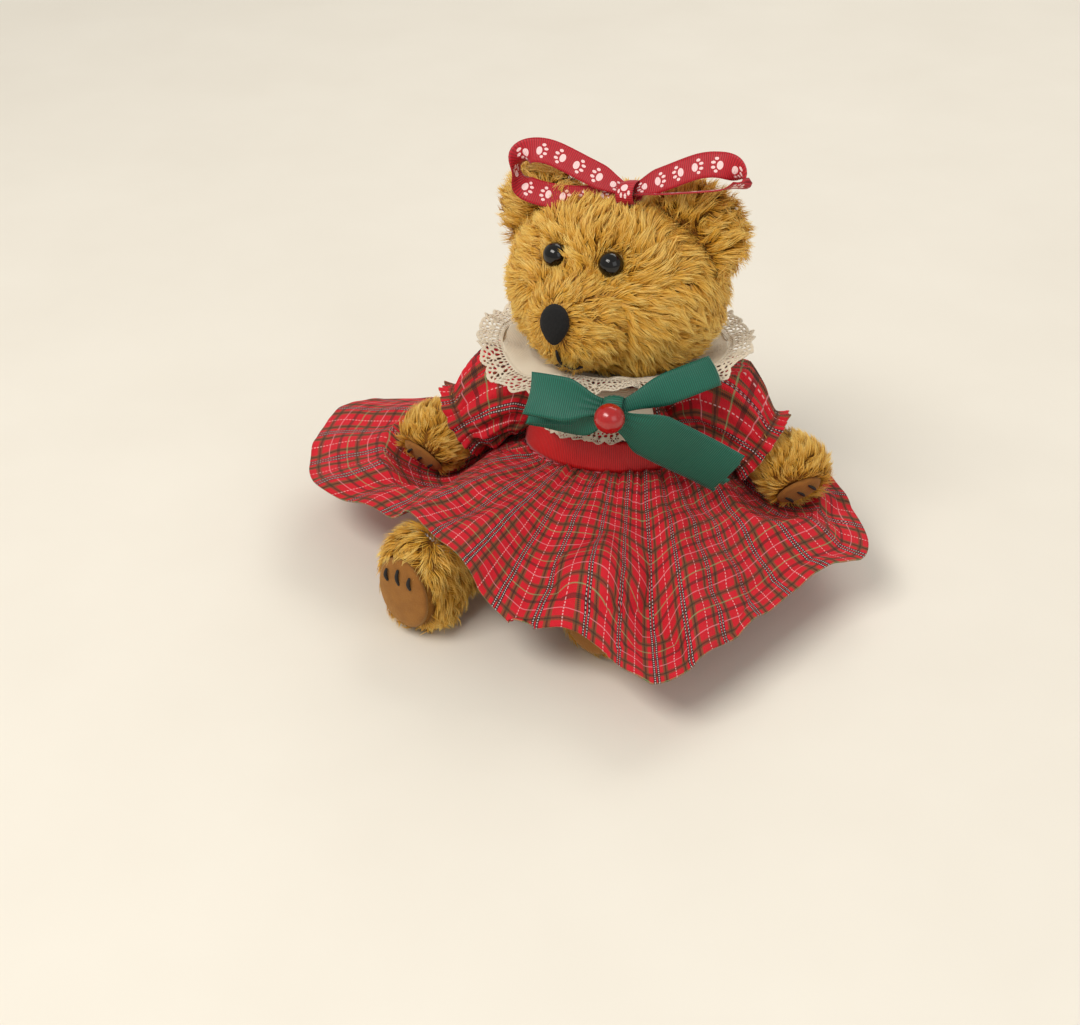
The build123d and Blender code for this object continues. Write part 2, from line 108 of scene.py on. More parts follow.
def arm_axes(side, lift=0.0):
    """Origin on the joint face, then the directions down the arm, outward and forward."""
    tilt, up = math.radians(SHOULDER_TILT), math.radians(lift)
    down = np.array((side * math.sin(tilt), 0, -math.cos(tilt)))
    front = np.array((0.0, -1.0, 0.0))
    swung = np.array((down * math.cos(up) + front * math.sin(up),
                      (side * math.cos(tilt), 0, math.sin(tilt)),
                      front * math.cos(up) - down * math.sin(up)))
    return leaned((side * SHOULDER_X, 0, SHOULDER_Z)), leaned(swung)


def placed(axes, points):
    return axes[0] + np.asarray(points, float) @ axes[1]


def smooth_step(value, low, high):
    share = np.clip((value - low) / (high - low), 0, 1)
    return share * share * (3 - 2 * share)


def turns(value):
    """Sine of a number of whole turns."""
    return np.sin(2 * math.pi * value)


def column(count):
    """Evenly spaced shares from 0 to 1, as a column."""
    return np.linspace(0, 1, count)[:, None]


def full_turn(count):
    """Angles once round, as a row, without the last one."""
    return np.linspace(0, 2 * math.pi, count, endpoint=False)[None, :]


def spread(*values):
    """Values of different shapes, broadcast and stacked as the last axis."""
    return np.stack(np.broadcast_arrays(*values), axis=-1)


def ripple(points, size, seed, count=6):
    """Smooth made-up unevenness between about -1 and 1 at points, size across."""
    rng = np.random.default_rng(seed)
    total = np.zeros(len(points))
    for _ in range(count):
        way = unit(rng.normal(size=3)) * rng.uniform(0.6, 1.5) * 2 * math.pi / size
        total += np.sin(points @ way + rng.uniform(0, 2 * math.pi))
    return total / count * 1.6


def curve_through(points, count, closed=False):
    """Points along a Catmull-Rom curve, evenly spaced by length."""
    points = np.asarray(points, float)
    if closed:
        padded = np.vstack((points[-1:], points, points[:2]))
    else:
        padded = np.vstack((2 * points[0] - points[1], points, 2 * points[-1] - points[-2]))
    out = []
    for a, b, c, d in zip(padded, padded[1:], padded[2:], padded[3:]):
        for t in np.linspace(0, 1, 24, endpoint=False):
            out.append(0.5 * (2 * b + (c - a) * t + (2 * a - 5 * b + 4 * c - d) * t**2
                              + (3 * b - a - 3 * c + d) * t**3))
    out.append(out[0] if closed else points[-1])
    out = np.array(out)
    length = np.concatenate(([0], np.cumsum(np.linalg.norm(np.diff(out, axis=0), axis=1))))
    wanted = np.linspace(0, length[-1], count)
    return np.stack([np.interp(wanted, length, out[:, k]) for k in range(3)], axis=1), length[-1]


# ---- node materials ------------------------------------------------------------------
class Graph:
    """Short calls for a material's nodes."""

    def __init__(self, name):
        self.material = bpy.data.materials.new(name)
        self.material.use_nodes = True
        self.tree = self.material.node_tree
        self.shader = self.tree.nodes["Principled BSDF"]

    def link(self, value, socket):
        if isinstance(value, bpy.types.NodeSocket):
            self.tree.links.new(value, socket)
        else:
            socket.default_value = value

    def node(self, kind, **settings):
        made = self.tree.nodes.new("ShaderNode" + kind)
        for key, value in settings.items():
            setattr(made, key, value)
        return made

    def math(self, operation, a, b=0.0, c=0.0):
        made = self.node("Math", operation=operation)
        for value, socket in zip((a, b, c), made.inputs):
            self.link(value, socket)
        return made.outputs[0]

    def mix(self, share, low, high):
        made = self.node("Mix", data_type="RGBA")
        self.link(share, made.inputs[0])
        self.link(low, made.inputs[6])
        self.link(high, made.inputs[7])
        return made.outputs[2]

    def noise(self, size, detail=3.0):
        """Grey noise whose blobs are about size mm across."""
        made = self.node("TexNoise")
        for label, value in (("Scale", 1000.0 / size), ("Detail", detail), ("Roughness", 0.55)):
            made.inputs[label].default_value = value
        self.link(self.node("TexCoord").outputs["Object"], made.inputs["Vector"])
        return made.outputs["Fac"]

    def along(self, name):
        return self.node("Attribute", attribute_name=name).outputs["Fac"]

    def uv(self):
        """Millimetres along and across the cloth."""
        split = self.node("SeparateXYZ")
        self.link(self.node("Attribute", attribute_name="cloth_mm").outputs["Vector"], split.inputs[0])
        return split.outputs[0], split.outputs[1]

    def wave(self, value, period):
        """Rises and falls between 0 and 1 once in each period."""
        angle = self.math("MULTIPLY", value, 2 * math.pi / period)
        return self.math("MULTIPLY_ADD", self.math("SINE", angle), 0.5, 0.5)

    def stripe(self, value, period, centre, width, soft=0.12):
        """1 on a stripe of each period, 0 elsewhere."""
        at = self.math("FLOORED_MODULO", self.math("SUBTRACT", value, centre - period / 2), period)
        off = self.math("ABSOLUTE", self.math("SUBTRACT", at, period / 2))
        ramp = self.node("MapRange", interpolation_type="SMOOTHSTEP")
        self.link(off, ramp.inputs[0])
        for socket, number in zip(ramp.inputs[1:5], (width / 2 - soft, width / 2 + soft, 1.0, 0.0)):
            socket.default_value = number
        return ramp.outputs[0]

    def colour(self, value):
        self.link(value, self.shader.inputs["Base Color"])

    def rough(self, value):
        self.link(value, self.shader.inputs["Roughness"])

    def bump(self, height, depth, strength=1.0):
        made = self.node("Bump")
        made.inputs["Strength"].default_value = strength
        made.inputs["Distance"].default_value = depth * MM
        self.link(height, made.inputs["Height"])
        self.link(made.outputs[0], self.shader.inputs["Normal"])

    def sheen(self, weight, roughness=0.4, tint=(1, 1, 1, 1)):
        self.shader.inputs["Sheen Weight"].default_value = weight
        self.shader.inputs["Sheen Roughness"].default_value = roughness
        self.shader.inputs["Sheen Tint"].default_value = tint


def rgb(red, green, blue):
    """A linear colour from the usual 0-255 values."""
    def linear(value):
        value /= 255
        return value / 12.92 if value <= 0.04045 else ((value + 0.055) / 1.055) ** 2.4
    return linear(red), linear(green), linear(blue), 1.0


def tartan_material():
    """Red tartan: black and white ladder lines, olive bands and fine pale lines."""
    g = Graph("tartan_cloth")
    u, v = g.uv()
    period_u, period_v = 21.0, 18.0
    thread_u, thread_v = g.wave(u, 0.55), g.wave(v, 0.55)
    twill = g.wave(g.math("ADD", u, v), 0.9)
    base = g.mix(g.noise(14, 2), rgb(214, 6, 30), rgb(238, 18, 46))
    base = g.mix(g.math("MULTIPLY", twill, 0.16), base, rgb(160, 4, 20))

    def band(colour, value, period, centre, width, share, under):
        cover = g.math("MULTIPLY", g.stripe(value, period, centre, width), share)
        return g.mix(cover, under, colour)

    half_warp = g.math("MULTIPLY_ADD", thread_v, 0.35, 0.55)
    half_weft = g.math("MULTIPLY_ADD", thread_u, 0.35, 0.45)
    for centre in (4.6, 16.4):
        base = band(rgb(92, 84, 44), u, period_u, centre, 2.7, half_warp, base)
        base = band(rgb(30, 34, 22), u, period_u, centre, 0.9, half_warp, base)
    base = band(rgb(80, 74, 40), v, period_v, 3.6, 2.4, half_weft, base)
    base = band(rgb(28, 30, 24), v, period_v, 3.6, 0.8, half_weft, base)
    base = band(rgb(28, 30, 24), v, period_v, 12.2, 1.5, half_weft, base)
    base = band(rgb(140, 168, 112), v, period_v, 8.2, 0.5, 0.7, base)
    base = band(rgb(240, 150, 160), v, period_v, 16.6, 0.42, 0.75, base)
    dashes = g.stripe(v, 1.5, 0.4, 0.85, 0.1)
    base = band(rgb(244, 196, 196), u, period_u, 10.5, 0.45, g.math("MULTIPLY", dashes, 0.9), base)
    rungs = g.stripe(v, 1.25, 0.3, 0.62, 0.08)
    for centre in (0.9, 20.1):
        base = band(rgb(10, 8, 10), u, period_u, centre, 1.2, 0.97, base)
        base = band(rgb(226, 214, 210), u, period_u, centre, 0.5, g.math("MULTIPLY", rungs, 0.85), base)
    g.colour(g.mix(g.math("MULTIPLY", g.noise(40, 3), 0.10), base, rgb(130, 4, 18)))
    g.rough(g.math("MULTIPLY_ADD", g.noise(1.2, 2), 0.2, 0.68))
    weave = g.math("ADD", g.math("MULTIPLY", thread_u, thread_v), g.math("MULTIPLY", g.noise(6, 4), 2.2))
    g.bump(weave, 0.30, 0.75)
    return g.material


def ribbon_material(name, dark, light, paws=False):
    """Grosgrain ribbon: ribs across its width, faint creases."""
    g = Graph(name)
    u, v = g.uv()
    rib = g.wave(u, 0.85)
    base = g.mix(rib, dark, light)
    base = g.mix(g.math("MULTIPLY", g.noise(9, 3), 0.4), base, dark)
    if paws:
        base = g.mix(paw_print(g, u, v), base, rgb(250, 214, 214))
    g.colour(base)
    g.rough(g.math("MULTIPLY_ADD", g.noise(3, 2), 0.2, 0.42))
    g.bump(g.math("ADD", rib, g.math("MULTIPLY", g.noise(5, 3), 0.8)), 0.16, 0.8)
    g.sheen(0.25, 0.3)
    return g.material


def paw_print(g, u, v):
    """Row of small paw marks: one pad and four toes, turned to and fro."""
    period = 8.6
    cell = g.math("FLOORED_MODULO", u, period)
    odd = g.math("FLOORED_MODULO", g.math("FLOOR", g.math("DIVIDE", u, period)), 2.0)
    flip = g.math("MULTIPLY_ADD", odd, 2.0, -1.0)
    x = g.math("MULTIPLY", g.math("SUBTRACT", cell, period / 2), flip)
    marks = None
    for cx, cy, rx, ry in ((-1.1, -0.2, 1.35, 1.7), (0.4, -2.5, 0.85, 0.6), (1.7, -1.1, 0.95, 0.58),
                           (1.8, 0.8, 0.95, 0.58), (0.6, 2.3, 0.85, 0.6)):
        dx = g.math("DIVIDE", g.math("SUBTRACT", x, cx), rx)
        dy = g.math("DIVIDE", g.math("SUBTRACT", v, cy), ry)
        reach = g.math("ADD", g.math("MULTIPLY", dx, dx), g.math("MULTIPLY", dy, dy))
        inside = g.math("SUBTRACT", 1.0, g.math("SMOOTH_MIN", reach, 1.0, 0.05))
        inside = g.math("MINIMUM", g.math("MULTIPLY", inside, 8.0), 1.0)
        marks = inside if marks is None else g.math("MAXIMUM", marks, inside)
    return g.math("MAXIMUM", marks, 0.0)


def cream_material(name, low, high, grain):
    g = Graph(name)
    u, v = g.uv()
    weave = g.math("MULTIPLY", g.wave(u, grain), g.wave(v, grain))
    g.colour(g.mix(g.noise(11, 3), low, high))
    g.rough(0.8)
    g.bump(g.math("ADD", weave, g.math("MULTIPLY", g.noise(7, 4), 1.6)), 0.25, 0.7)
    g.sheen(0.2)
    return g.material


def fur_material():
    """Mohair-like locks: dark at the root, which is painted shade deep in the pile, and golden at the tip,
    brightest there as a painted highlight.
    """
    g = Graph("golden_fur")
    shade = g.along("shade")
    # dark roots: painted shade down in the pile, where the locks shade each other
    root = g.mix(shade, rgb(96, 54, 6), rgb(142, 88, 14))
    middle = g.mix(shade, rgb(202, 138, 24), rgb(240, 184, 56))
    # pale bright tips: painted highlight on the outside of the pile
    tip = g.mix(shade, rgb(244, 192, 64), rgb(255, 236, 146))
    along = g.along("along")
    low = g.math("MINIMUM", g.math("MULTIPLY", along, 2.0), 1.0)
    high = g.math("MAXIMUM", g.math("MULTIPLY_ADD", along, 2.0, -1.0), 0.0)
    # root to tip ramp: from painted shade at the root to painted highlight at the tip
    base = g.mix(high, g.mix(low, root, middle), tip)
    g.colour(g.mix(g.math("MULTIPLY", g.noise(22, 2), 0.22), base, rgb(176, 112, 18)))
    g.rough(0.5)
    g.sheen(0.15, 0.5, rgb(255, 226, 150))
    return g.material


def skin_material():
    g = Graph("golden_plush")
    g.colour(g.mix(g.noise(2.2, 4), rgb(104, 62, 8), rgb(170, 112, 24)))
    g.rough(0.9)
    g.bump(g.noise(1.1, 4), 0.6, 0.8)
    return g.material


def suede_material():
    g = Graph("tan_suede")
    nap = g.mix(g.noise(5, 4), rgb(128, 78, 22), rgb(176, 116, 44))
    g.colour(g.mix(g.math("MULTIPLY", g.noise(0.7, 3), 0.5), nap, rgb(110, 62, 16)))
    g.rough(0.88)
    g.bump(g.noise(0.6, 4), 0.35, 0.8)
    g.sheen(0.4, 0.5, rgb(230, 190, 120))
    return g.material


def simple_material(name, low, high, size, roughness, depth, metallic=0.0, coat=0.0):
    """A finish with fine colour and bump variation, size mm across."""
    g = Graph(name)
    g.colour(g.mix(g.noise(size, 3), low, high))
    g.rough(g.math("MULTIPLY_ADD", g.noise(size * 2, 2), 0.15, roughness))
    if depth:
        g.bump(g.noise(size, 4), depth, 0.7)
    g.shader.inputs["Metallic"].default_value = metallic
    g.shader.inputs["Coat Weight"].default_value = coat
    return g.material


LOOKS = {
    "golden_plush": skin_material(),
    "tan_suede": suede_material(),
    "tartan_cloth": tartan_material(),
    "cream_cloth": cream_material("cream_cloth", rgb(226, 212, 188), rgb(244, 234, 214), 0.6),
    "cream_lace": cream_material("cream_lace", rgb(222, 206, 180), rgb(246, 236, 216), 0.5),
    "green_ribbon": ribbon_material("green_ribbon", rgb(2, 70, 56), rgb(10, 118, 94)),
    "red_ribbon": ribbon_material("red_ribbon", rgb(150, 4, 22), rgb(206, 14, 40), paws=True),
    "red_sash": ribbon_material("red_sash", rgb(176, 4, 10), rgb(222, 22, 22)),
}
# slot: low and high colour, grain size, roughness, bump depth, metallic, coat
PLAIN_LOOKS = {
    "red_bead": ((150, 6, 10), (186, 16, 16), 3.0, 0.18, 0.02, 0.0, 0.6),
    "eye_black": ((2, 2, 2), (9, 6, 5), 2.0, 0.03, 0.0, 0.0, 0.0),
    "nose_flock": ((4, 4, 5), (22, 21, 22), 0.5, 0.85, 0.3, 0.0, 0.0),
    "black_thread": ((8, 7, 8), (30, 26, 24), 0.6, 0.6, 0.2, 0.0, 0.0),
    "fibre_fill": ((216, 214, 206), (240, 238, 232), 1.5, 0.95, 0.6, 0.0, 0.0),
    "joint_plastic": ((196, 192, 180), (214, 210, 200), 4.0, 0.45, 0.03, 0.0, 0.0),
    "joint_steel": ((150, 150, 152), (190, 190, 192), 2.0, 0.3, 0.02, 1.0, 0.0),
}
for slot, (low, high, *rest) in PLAIN_LOOKS.items():
    LOOKS[slot] = simple_material(slot, rgb(*low), rgb(*high), *rest)
FUR = fur_material()


# ---- meshes --------------------------------------------------------------------------
def shade_smooth(mesh):
    mesh.polygons.foreach_set("use_smooth", np.ones(len(mesh.polygons), bool))


def relax(edit, verts):
    """Moves vertices halfway to their neighbours' middle."""
    bmesh.ops.smooth_vert(edit, verts=verts, factor=0.5, use_axis_x=True, use_axis_y=True, use_axis_z=True)


def ball(name, subdivisions, place):
    """Mesh in metres of an icosphere whose directions place() turns into millimetre points."""
    edit = bmesh.new()
    bmesh.ops.create_icosphere(edit, subdivisions=subdivisions, radius=1)
    for vert in edit.verts:
        vert.co = place(*vert.co) * MM
    mesh = bpy.data.meshes.new(name)
    edit.to_mesh(mesh)
    edit.free()
    shade_smooth(mesh)
    return mesh


def add_object(name, mesh, look):
    made = bpy.data.objects.new(name, mesh)
    bpy.context.scene.collection.objects.link(made)
    mesh.materials.append(look)
    return made


def mesh_from(name, points, faces, cloth=None):
    """Mesh in metres from millimetre points, with the cloth's own coordinates."""
    mesh = bpy.data.meshes.new(name)
    mesh.from_pydata((np.asarray(points, float) * MM).tolist(), [], faces)
    mesh.update()
    if cloth is not None:
        store = mesh.attributes.new("cloth_mm", "FLOAT_VECTOR", "POINT")
        flat = np.zeros((len(points), 3))
        flat[:, :2] = cloth
        store.data.foreach_set("vector", flat.ravel())
    shade_smooth(mesh)
    return mesh


def cloth_piece(name, slot, grid, cloth, thick=0.7, round_columns=False, keep=None):
    """Cloth from a grid of points; keep says which cells are there."""
    rows, cols = grid.shape[:2]
    wrap = cols if round_columns else cols - 1
    faces = []
    for r in range(rows - 1):
        for c in range(wrap):
            if keep is None or keep[r, c]:
                d = (c + 1) % cols
                faces.append((r * cols + c, r * cols + d, (r + 1) * cols + d, (r + 1) * cols + c))
    mesh = mesh_from(name, grid.reshape(-1, 3), faces, cloth.reshape(-1, 2))
    if keep is not None:
        edit = bmesh.new()
        edit.from_mesh(mesh)
        bmesh.ops.delete(edit, geom=[v for v in edit.verts if not v.link_faces], context="VERTS")
        edit.to_mesh(mesh)
        edit.free()
    made = add_object(name, mesh, LOOKS[slot])
    modifier = made.modifiers.new("Thickness", "SOLIDIFY")
    modifier.thickness, modifier.offset = thick * MM, 0.0
    return made


def settle(obj, body, *nodes):
    """Puts a finished piece on its body in place of its CAD nodes."""
    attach(obj, body)
    if nodes:
        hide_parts(*nodes)
    return obj


def tree_of(*names):
    """Search tree over CAD nodes, in millimetres."""
    points, faces = [], []
    for name in names:
        mesh = frame["nodes"][name].data
        start = len(points)
        points += [v.co / MM for v in mesh.vertices]
        faces += [[start + i for i in p.vertices] for p in mesh.polygons]
    return BVHTree.FromPolygons(points, faces)


def outer_skin(name, nodes, centre, axes, reach, inset, body, replaced, detail=6):
    """The nodes' outermost surface seen from centre, inset all over and smoothed."""
    edit = bmesh.new()
    bmesh.ops.create_icosphere(edit, subdivisions=detail, radius=1)
    tree = tree_of(*nodes)
    middle = Vector(centre)
    for vert in edit.verts:
        way = Vector((np.array(vert.co) * reach) @ axes).normalized()
        hit = tree.ray_cast(middle + way * 200, -way)[0]
        vert.co = hit if hit else middle + way * min(reach)
    for _ in range(3):
        relax(edit, edit.verts)
    if np.linalg.det(axes) < 0:
        bmesh.ops.reverse_faces(edit, faces=edit.faces)
    edit.normal_update()
    moved = [v.co - v.normal * inset for v in edit.verts]
    for vert, place in zip(edit.verts, moved):
        vert.co = place * MM
    mesh = bpy.data.meshes.new(name)
    edit.to_mesh(mesh)
    edit.free()
    shade_smooth(mesh)
    made = add_object(name, mesh, LOOKS["golden_plush"])
    settle(made, body, *replaced)
    return made


def surface_arrays(obj):
    mesh = obj.data
    points = np.empty(len(mesh.vertices) * 3)
    normals = np.empty(len(mesh.vertices) * 3)
    mesh.vertices.foreach_get("co", points)
    mesh.vertices.foreach_get("normal", normals)
    mesh.calc_loop_triangles()
    corners = np.empty(len(mesh.loop_triangles) * 3, int)
    mesh.loop_triangles.foreach_get("vertices", corners)
    return points.reshape(-1, 3) / MM, normals.reshape(-1, 3), corners.reshape(-1, 3)


BLADES_PER_PIECE = 38000


def blade_mesh(name, rows, widths, along, shade):
    """Tapered blades: rows is blades x 4 levels x 3, widths is blades x 3 x 3."""
    count = len(rows)
    points = np.empty((count, 7, 3))
    for level in range(3):
        points[:, 2 * level] = rows[:, level] - widths[:, level]
        points[:, 2 * level + 1] = rows[:, level] + widths[:, level]
    points[:, 6] = rows[:, 3]
    pattern = np.array((0, 1, 3, 2, 2, 3, 5, 4, 4, 5, 6))
    loops = (np.arange(count)[:, None] * 7 + pattern).ravel()
    starts = (np.arange(count)[:, None] * 11 + np.array((0, 4, 8))).ravel()
    mesh = bpy.data.meshes.new(name)
    mesh.vertices.add(count * 7)
    mesh.vertices.foreach_set("co", (points * MM).ravel())
    mesh.loops.add(len(loops))
    mesh.loops.foreach_set("vertex_index", loops)
    mesh.polygons.add(len(starts))
    mesh.polygons.foreach_set("loop_start", starts)
    shade_smooth(mesh)
    mesh.update(calc_edges=True)
    for label, values in (("along", along), ("shade", shade)):
        store = mesh.attributes.new(label, "FLOAT", "POINT")
        store.data.foreach_set("value", values.ravel())
    return mesh


def grow_fur(name, skin, body, density, length, comb, trim, seed, lie=0.66):
    """Locks of fur on a skin. comb gives the way they lie and trim their share of length."""
    rng = np.random.default_rng(seed)
    points, normals, corners = surface_arrays(skin)
    a, b, c = points[corners[:, 0]], points[corners[:, 1]], points[corners[:, 2]]
    areas = np.linalg.norm(np.cross(b - a, c - a), axis=1) / 2
    count = int(areas.sum() * density)
    pick = rng.choice(len(areas), count, p=areas / areas.sum())
    p, q = rng.random(count), rng.random(count)
    fold = p + q > 1
    p[fold], q[fold] = 1 - p[fold], 1 - q[fold]
    weights = np.stack((1 - p - q, p, q), axis=1)[..., None]
    root = (points[corners[pick]] * weights).sum(axis=1)
    normal = unit((normals[corners[pick]] * weights).sum(axis=1))
    share = trim(root)
    root, normal, share = root[share > 0.05], normal[share > 0.05], share[share > 0.05]
    count = len(root)
    swirl = np.stack([ripple(root, 26, seed + k) for k in (1, 2, 3)], axis=1)
    flow = unit(comb(root)) + 0.75 * swirl
    flow = unit(flow - normal * (flow * normal).sum(axis=1, keepdims=True))
    side = np.cross(normal, flow)
    locks = max(8, count // 16)
    tree = kdtree.KDTree(locks)
    for i in range(locks):
        tree.insert(root[i], i)
    tree.balance()
    lock = np.array([tree.find(r)[1] for r in root])
    lock_bend = rng.normal(0, 0.42, locks)[lock][:, None]
    lock_rise = rng.normal(0, 0.16, locks)[lock][:, None]
    lock_shade = rng.random(locks)[lock]
    size = (length * share * rng.uniform(0.75, 1.12, count))[:, None]
    raised = np.clip(1 - lie + lock_rise + rng.normal(0, 0.07, (count, 1)), 0.12, 1.1)
    way = unit(flow + side * lock_bend + normal * raised)
    tip = root + way * size
    lock_tip = (root[lock] + unit(flow[lock] + side[lock] * lock_bend + normal[lock] * raised)
                * size * 1.05)
    tip = tip + (lock_tip - tip) * rng.uniform(0.15, 0.6, (count, 1)) * np.minimum(1, share)[:, None]
    lift = root + normal * size * 0.34 + side * rng.normal(0, 0.07, (count, 1)) * size
    rows = np.empty((count, 4, 3))
    for level, t in enumerate((0.0, 0.4, 0.75, 1.0)):
        rows[:, level] = root * (1 - t) ** 2 + 2 * lift * t * (1 - t) + tip * t**2
    rows[:, 2] += side * lock_bend * size * 0.22
    spin = rng.uniform(-0.8, 0.8, (count, 1))
    across = side * np.cos(spin) + normal * np.sin(spin)
    half = rng.uniform(0.12, 0.23, (count, 1)) * np.minimum(1.0, 0.5 + share[:, None] / 2)
    widths = np.stack((across * half, across * half * 1.05, across * half * 0.7), axis=1)
    shade = np.clip(0.62 * lock_shade + 0.38 * rng.random(count), 0, 1)
    along = np.tile((0, 0, 0.4, 0.4, 0.75, 0.75, 1.0), (count, 1))
    order = np.argsort(root[:, 0], kind="stable")
    parts = max(1, math.ceil(count / BLADES_PER_PIECE))
    for number, chosen in enumerate(np.array_split(order, parts), 1):
        label = f"{name}_{number}"
        mesh = blade_mesh(label, rows[chosen], widths[chosen], along[chosen], np.repeat(shade[chosen], 7))
        made = add_object(label, mesh, FUR)
        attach(made, body)


# ---- camera, lights and floor --------------------------------------------------------
CAMERA_TARGET = np.array((-29.58, 0.0, 17.1))
CAMERA_DISTANCE, AZIMUTH, ELEVATION, ROLL = 765.66, 11.43, 35.16, -1.12


def make_camera():
    azimuth, elevation, roll = (math.radians(a) for a in (AZIMUTH, ELEVATION, ROLL))
    back = np.array((math.sin(azimuth) * math.cos(elevation), -math.cos(azimuth) * math.cos(elevation),
                     math.sin(elevation)))
    right = np.array((math.cos(azimuth), math.sin(azimuth), 0.0))
    up = np.cross(back, right)
    turned_right = right * math.cos(roll) + up * math.sin(roll)
    turned_up = up * math.cos(roll) - right * math.sin(roll)
    data = bpy.data.cameras.new("camera")
    data.lens, data.sensor_width = 58.57, 36.0
    data.clip_start, data.clip_end = 0.05, 20.0
    camera = bpy.data.objects.new("camera", data)
    place = np.eye(4)
    place[:3, 0], place[:3, 1], place[:3, 2] = turned_right, turned_up, back
    place[:3, 3] = (CAMERA_TARGET + back * CAMERA_DISTANCE) * MM
    camera.matrix_world = Matrix(place.tolist())
    bpy.context.scene.collection.objects.link(camera)
    bpy.context.scene.camera = camera


def make_light(name, place, target, size, watts, colour):
    data = bpy.data.lights.new(name, "AREA")
    data.shape, data.size, data.size_y = "RECTANGLE", size[0], size[1]
    data.energy, data.color = watts, colour
    light = bpy.data.objects.new(name, data)
    light.location = place
    light.rotation_mode = "QUATERNION"
    light.rotation_quaternion = (Vector(target) - Vector(place)).to_track_quat("-Z", "Y")
    bpy.context.scene.collection.objects.link(light)


def make_studio():
    make_light("key", (-0.55, -0.75, 1.35), (0, 0, 0.08), (0.9, 0.5), 14, (1.0, 0.96, 0.90))
    make_light("fill", (1.0, -0.9, 0.8), (0, 0, 0.08), (0.9, 0.9), 3, (0.96, 0.98, 1.0))
    make_light("back", (0.3, 1.0, 1.2), (0, 0, 0.08), (1.0, 0.6), 6, (1.0, 0.97, 0.92))
    world = bpy.data.worlds.new("studio")
    world.use_nodes = True
    background = world.node_tree.nodes["Background"]
    background.inputs[0].default_value = (0.93, 0.90, 0.84, 1.0)
    background.inputs[1].default_value = 0.52
    bpy.context.scene.world = world
    floor = mesh_from("floor", [(-4000, -4000, 0), (4000, -4000, 0), (4000, 4000, 0), (-4000, 4000, 0)],
                      [(0, 1, 2, 3)])
    add_object("floor", floor, simple_material(
        "pale_floor", rgb(232, 226, 214), rgb(240, 235, 224), 90.0, 0.7, 0.0))
    bpy.context.scene.view_settings.view_transform = "Standard"


make_camera()
make_studio()

# ---- plush skins and fur -------------------------------------------------------------
SKULL = on_head((0, 0, HEAD_Z))
NOSE_TIP = on_head((0, -54, HEAD_Z - 3))
EYES = [on_head((side * 12.5, -34.5, HEAD_Z + 18)) for side, _ in SIDES]


def near(points, place):
    return np.linalg.norm(points - place, axis=1)


def head_comb(points):
    """Fur runs away from the nose and a little down."""
    away = unit(points - NOSE_TIP)
    drop = np.array((0, 0.1, -0.55))
    side = np.clip(1 - near(points, NOSE_TIP) / 60, 0, 1)[:, None]
    return away * (1 + side) + drop


def head_trim(points):
    """Short fur on the muzzle and round the eyes, none under the collar."""
    share = 0.55 + 0.45 * smooth_step(near(points, NOSE_TIP), 9, 30)
    for eye in EYES:
        share *= smooth_step(near(points, eye), 4.0, 5.2)
        share *= 0.5 + 0.5 * smooth_step(near(points, eye), 6.4, 12)
    share *= smooth_step(near(points, NOSE_TIP), 4.2, 6.5)
    flat = (points @ LEAN)[:, 2]
    return share * smooth_step(flat, 92.5, 96.5)


def make_head():
    skin = outer_skin("head_skin", ["head_shell", "nose"], SKULL - HEAD[:, 1] * 6, HEAD.T, (45, 45, 38), 1.7,
                      "head", ["head_shell"], 6)
    grow_fur("head_fur", skin, "head", 3.8, 9.4, head_comb, head_trim, 11)
    for side, word in SIDES:
        place = turn_matrix("Z", side * 14) @ turn_matrix("Y", side * 38)
        centre = on_head(np.array((side * 33, -2, HEAD_Z + 25)) + place @ np.array((0, 0, 3.0)))
        axes = (HEAD @ place).T
        ear = outer_skin(f"ear_skin_{word}", [f"ear_{word}"], centre, axes, (18, 4.5, 18), 0.8,
                         "head", [f"ear_{word}"], 5)
        base = on_head(np.array((side * 22, -2, HEAD_Z + 14)))

        def ear_comb(points, base=base, front=-(HEAD @ place)[:, 1]):
            return unit(points - base) + 0.35 * front

        def ear_trim(points):
            local = (points - SKULL) @ HEAD
            local = local / (HEAD_HALF_WIDTH, HEAD_RADIUS, HEAD_RADIUS)
            skull = np.sqrt(local[:, 0] ** 2 + local[:, 1] ** 2 + local[:, 2] ** 2)
            return smooth_step(skull, 0.92, 1.0)

        grow_fur(f"ear_fur_{word}", ear, "head", 3.4, 8.6, ear_comb, ear_trim, 31 + side)


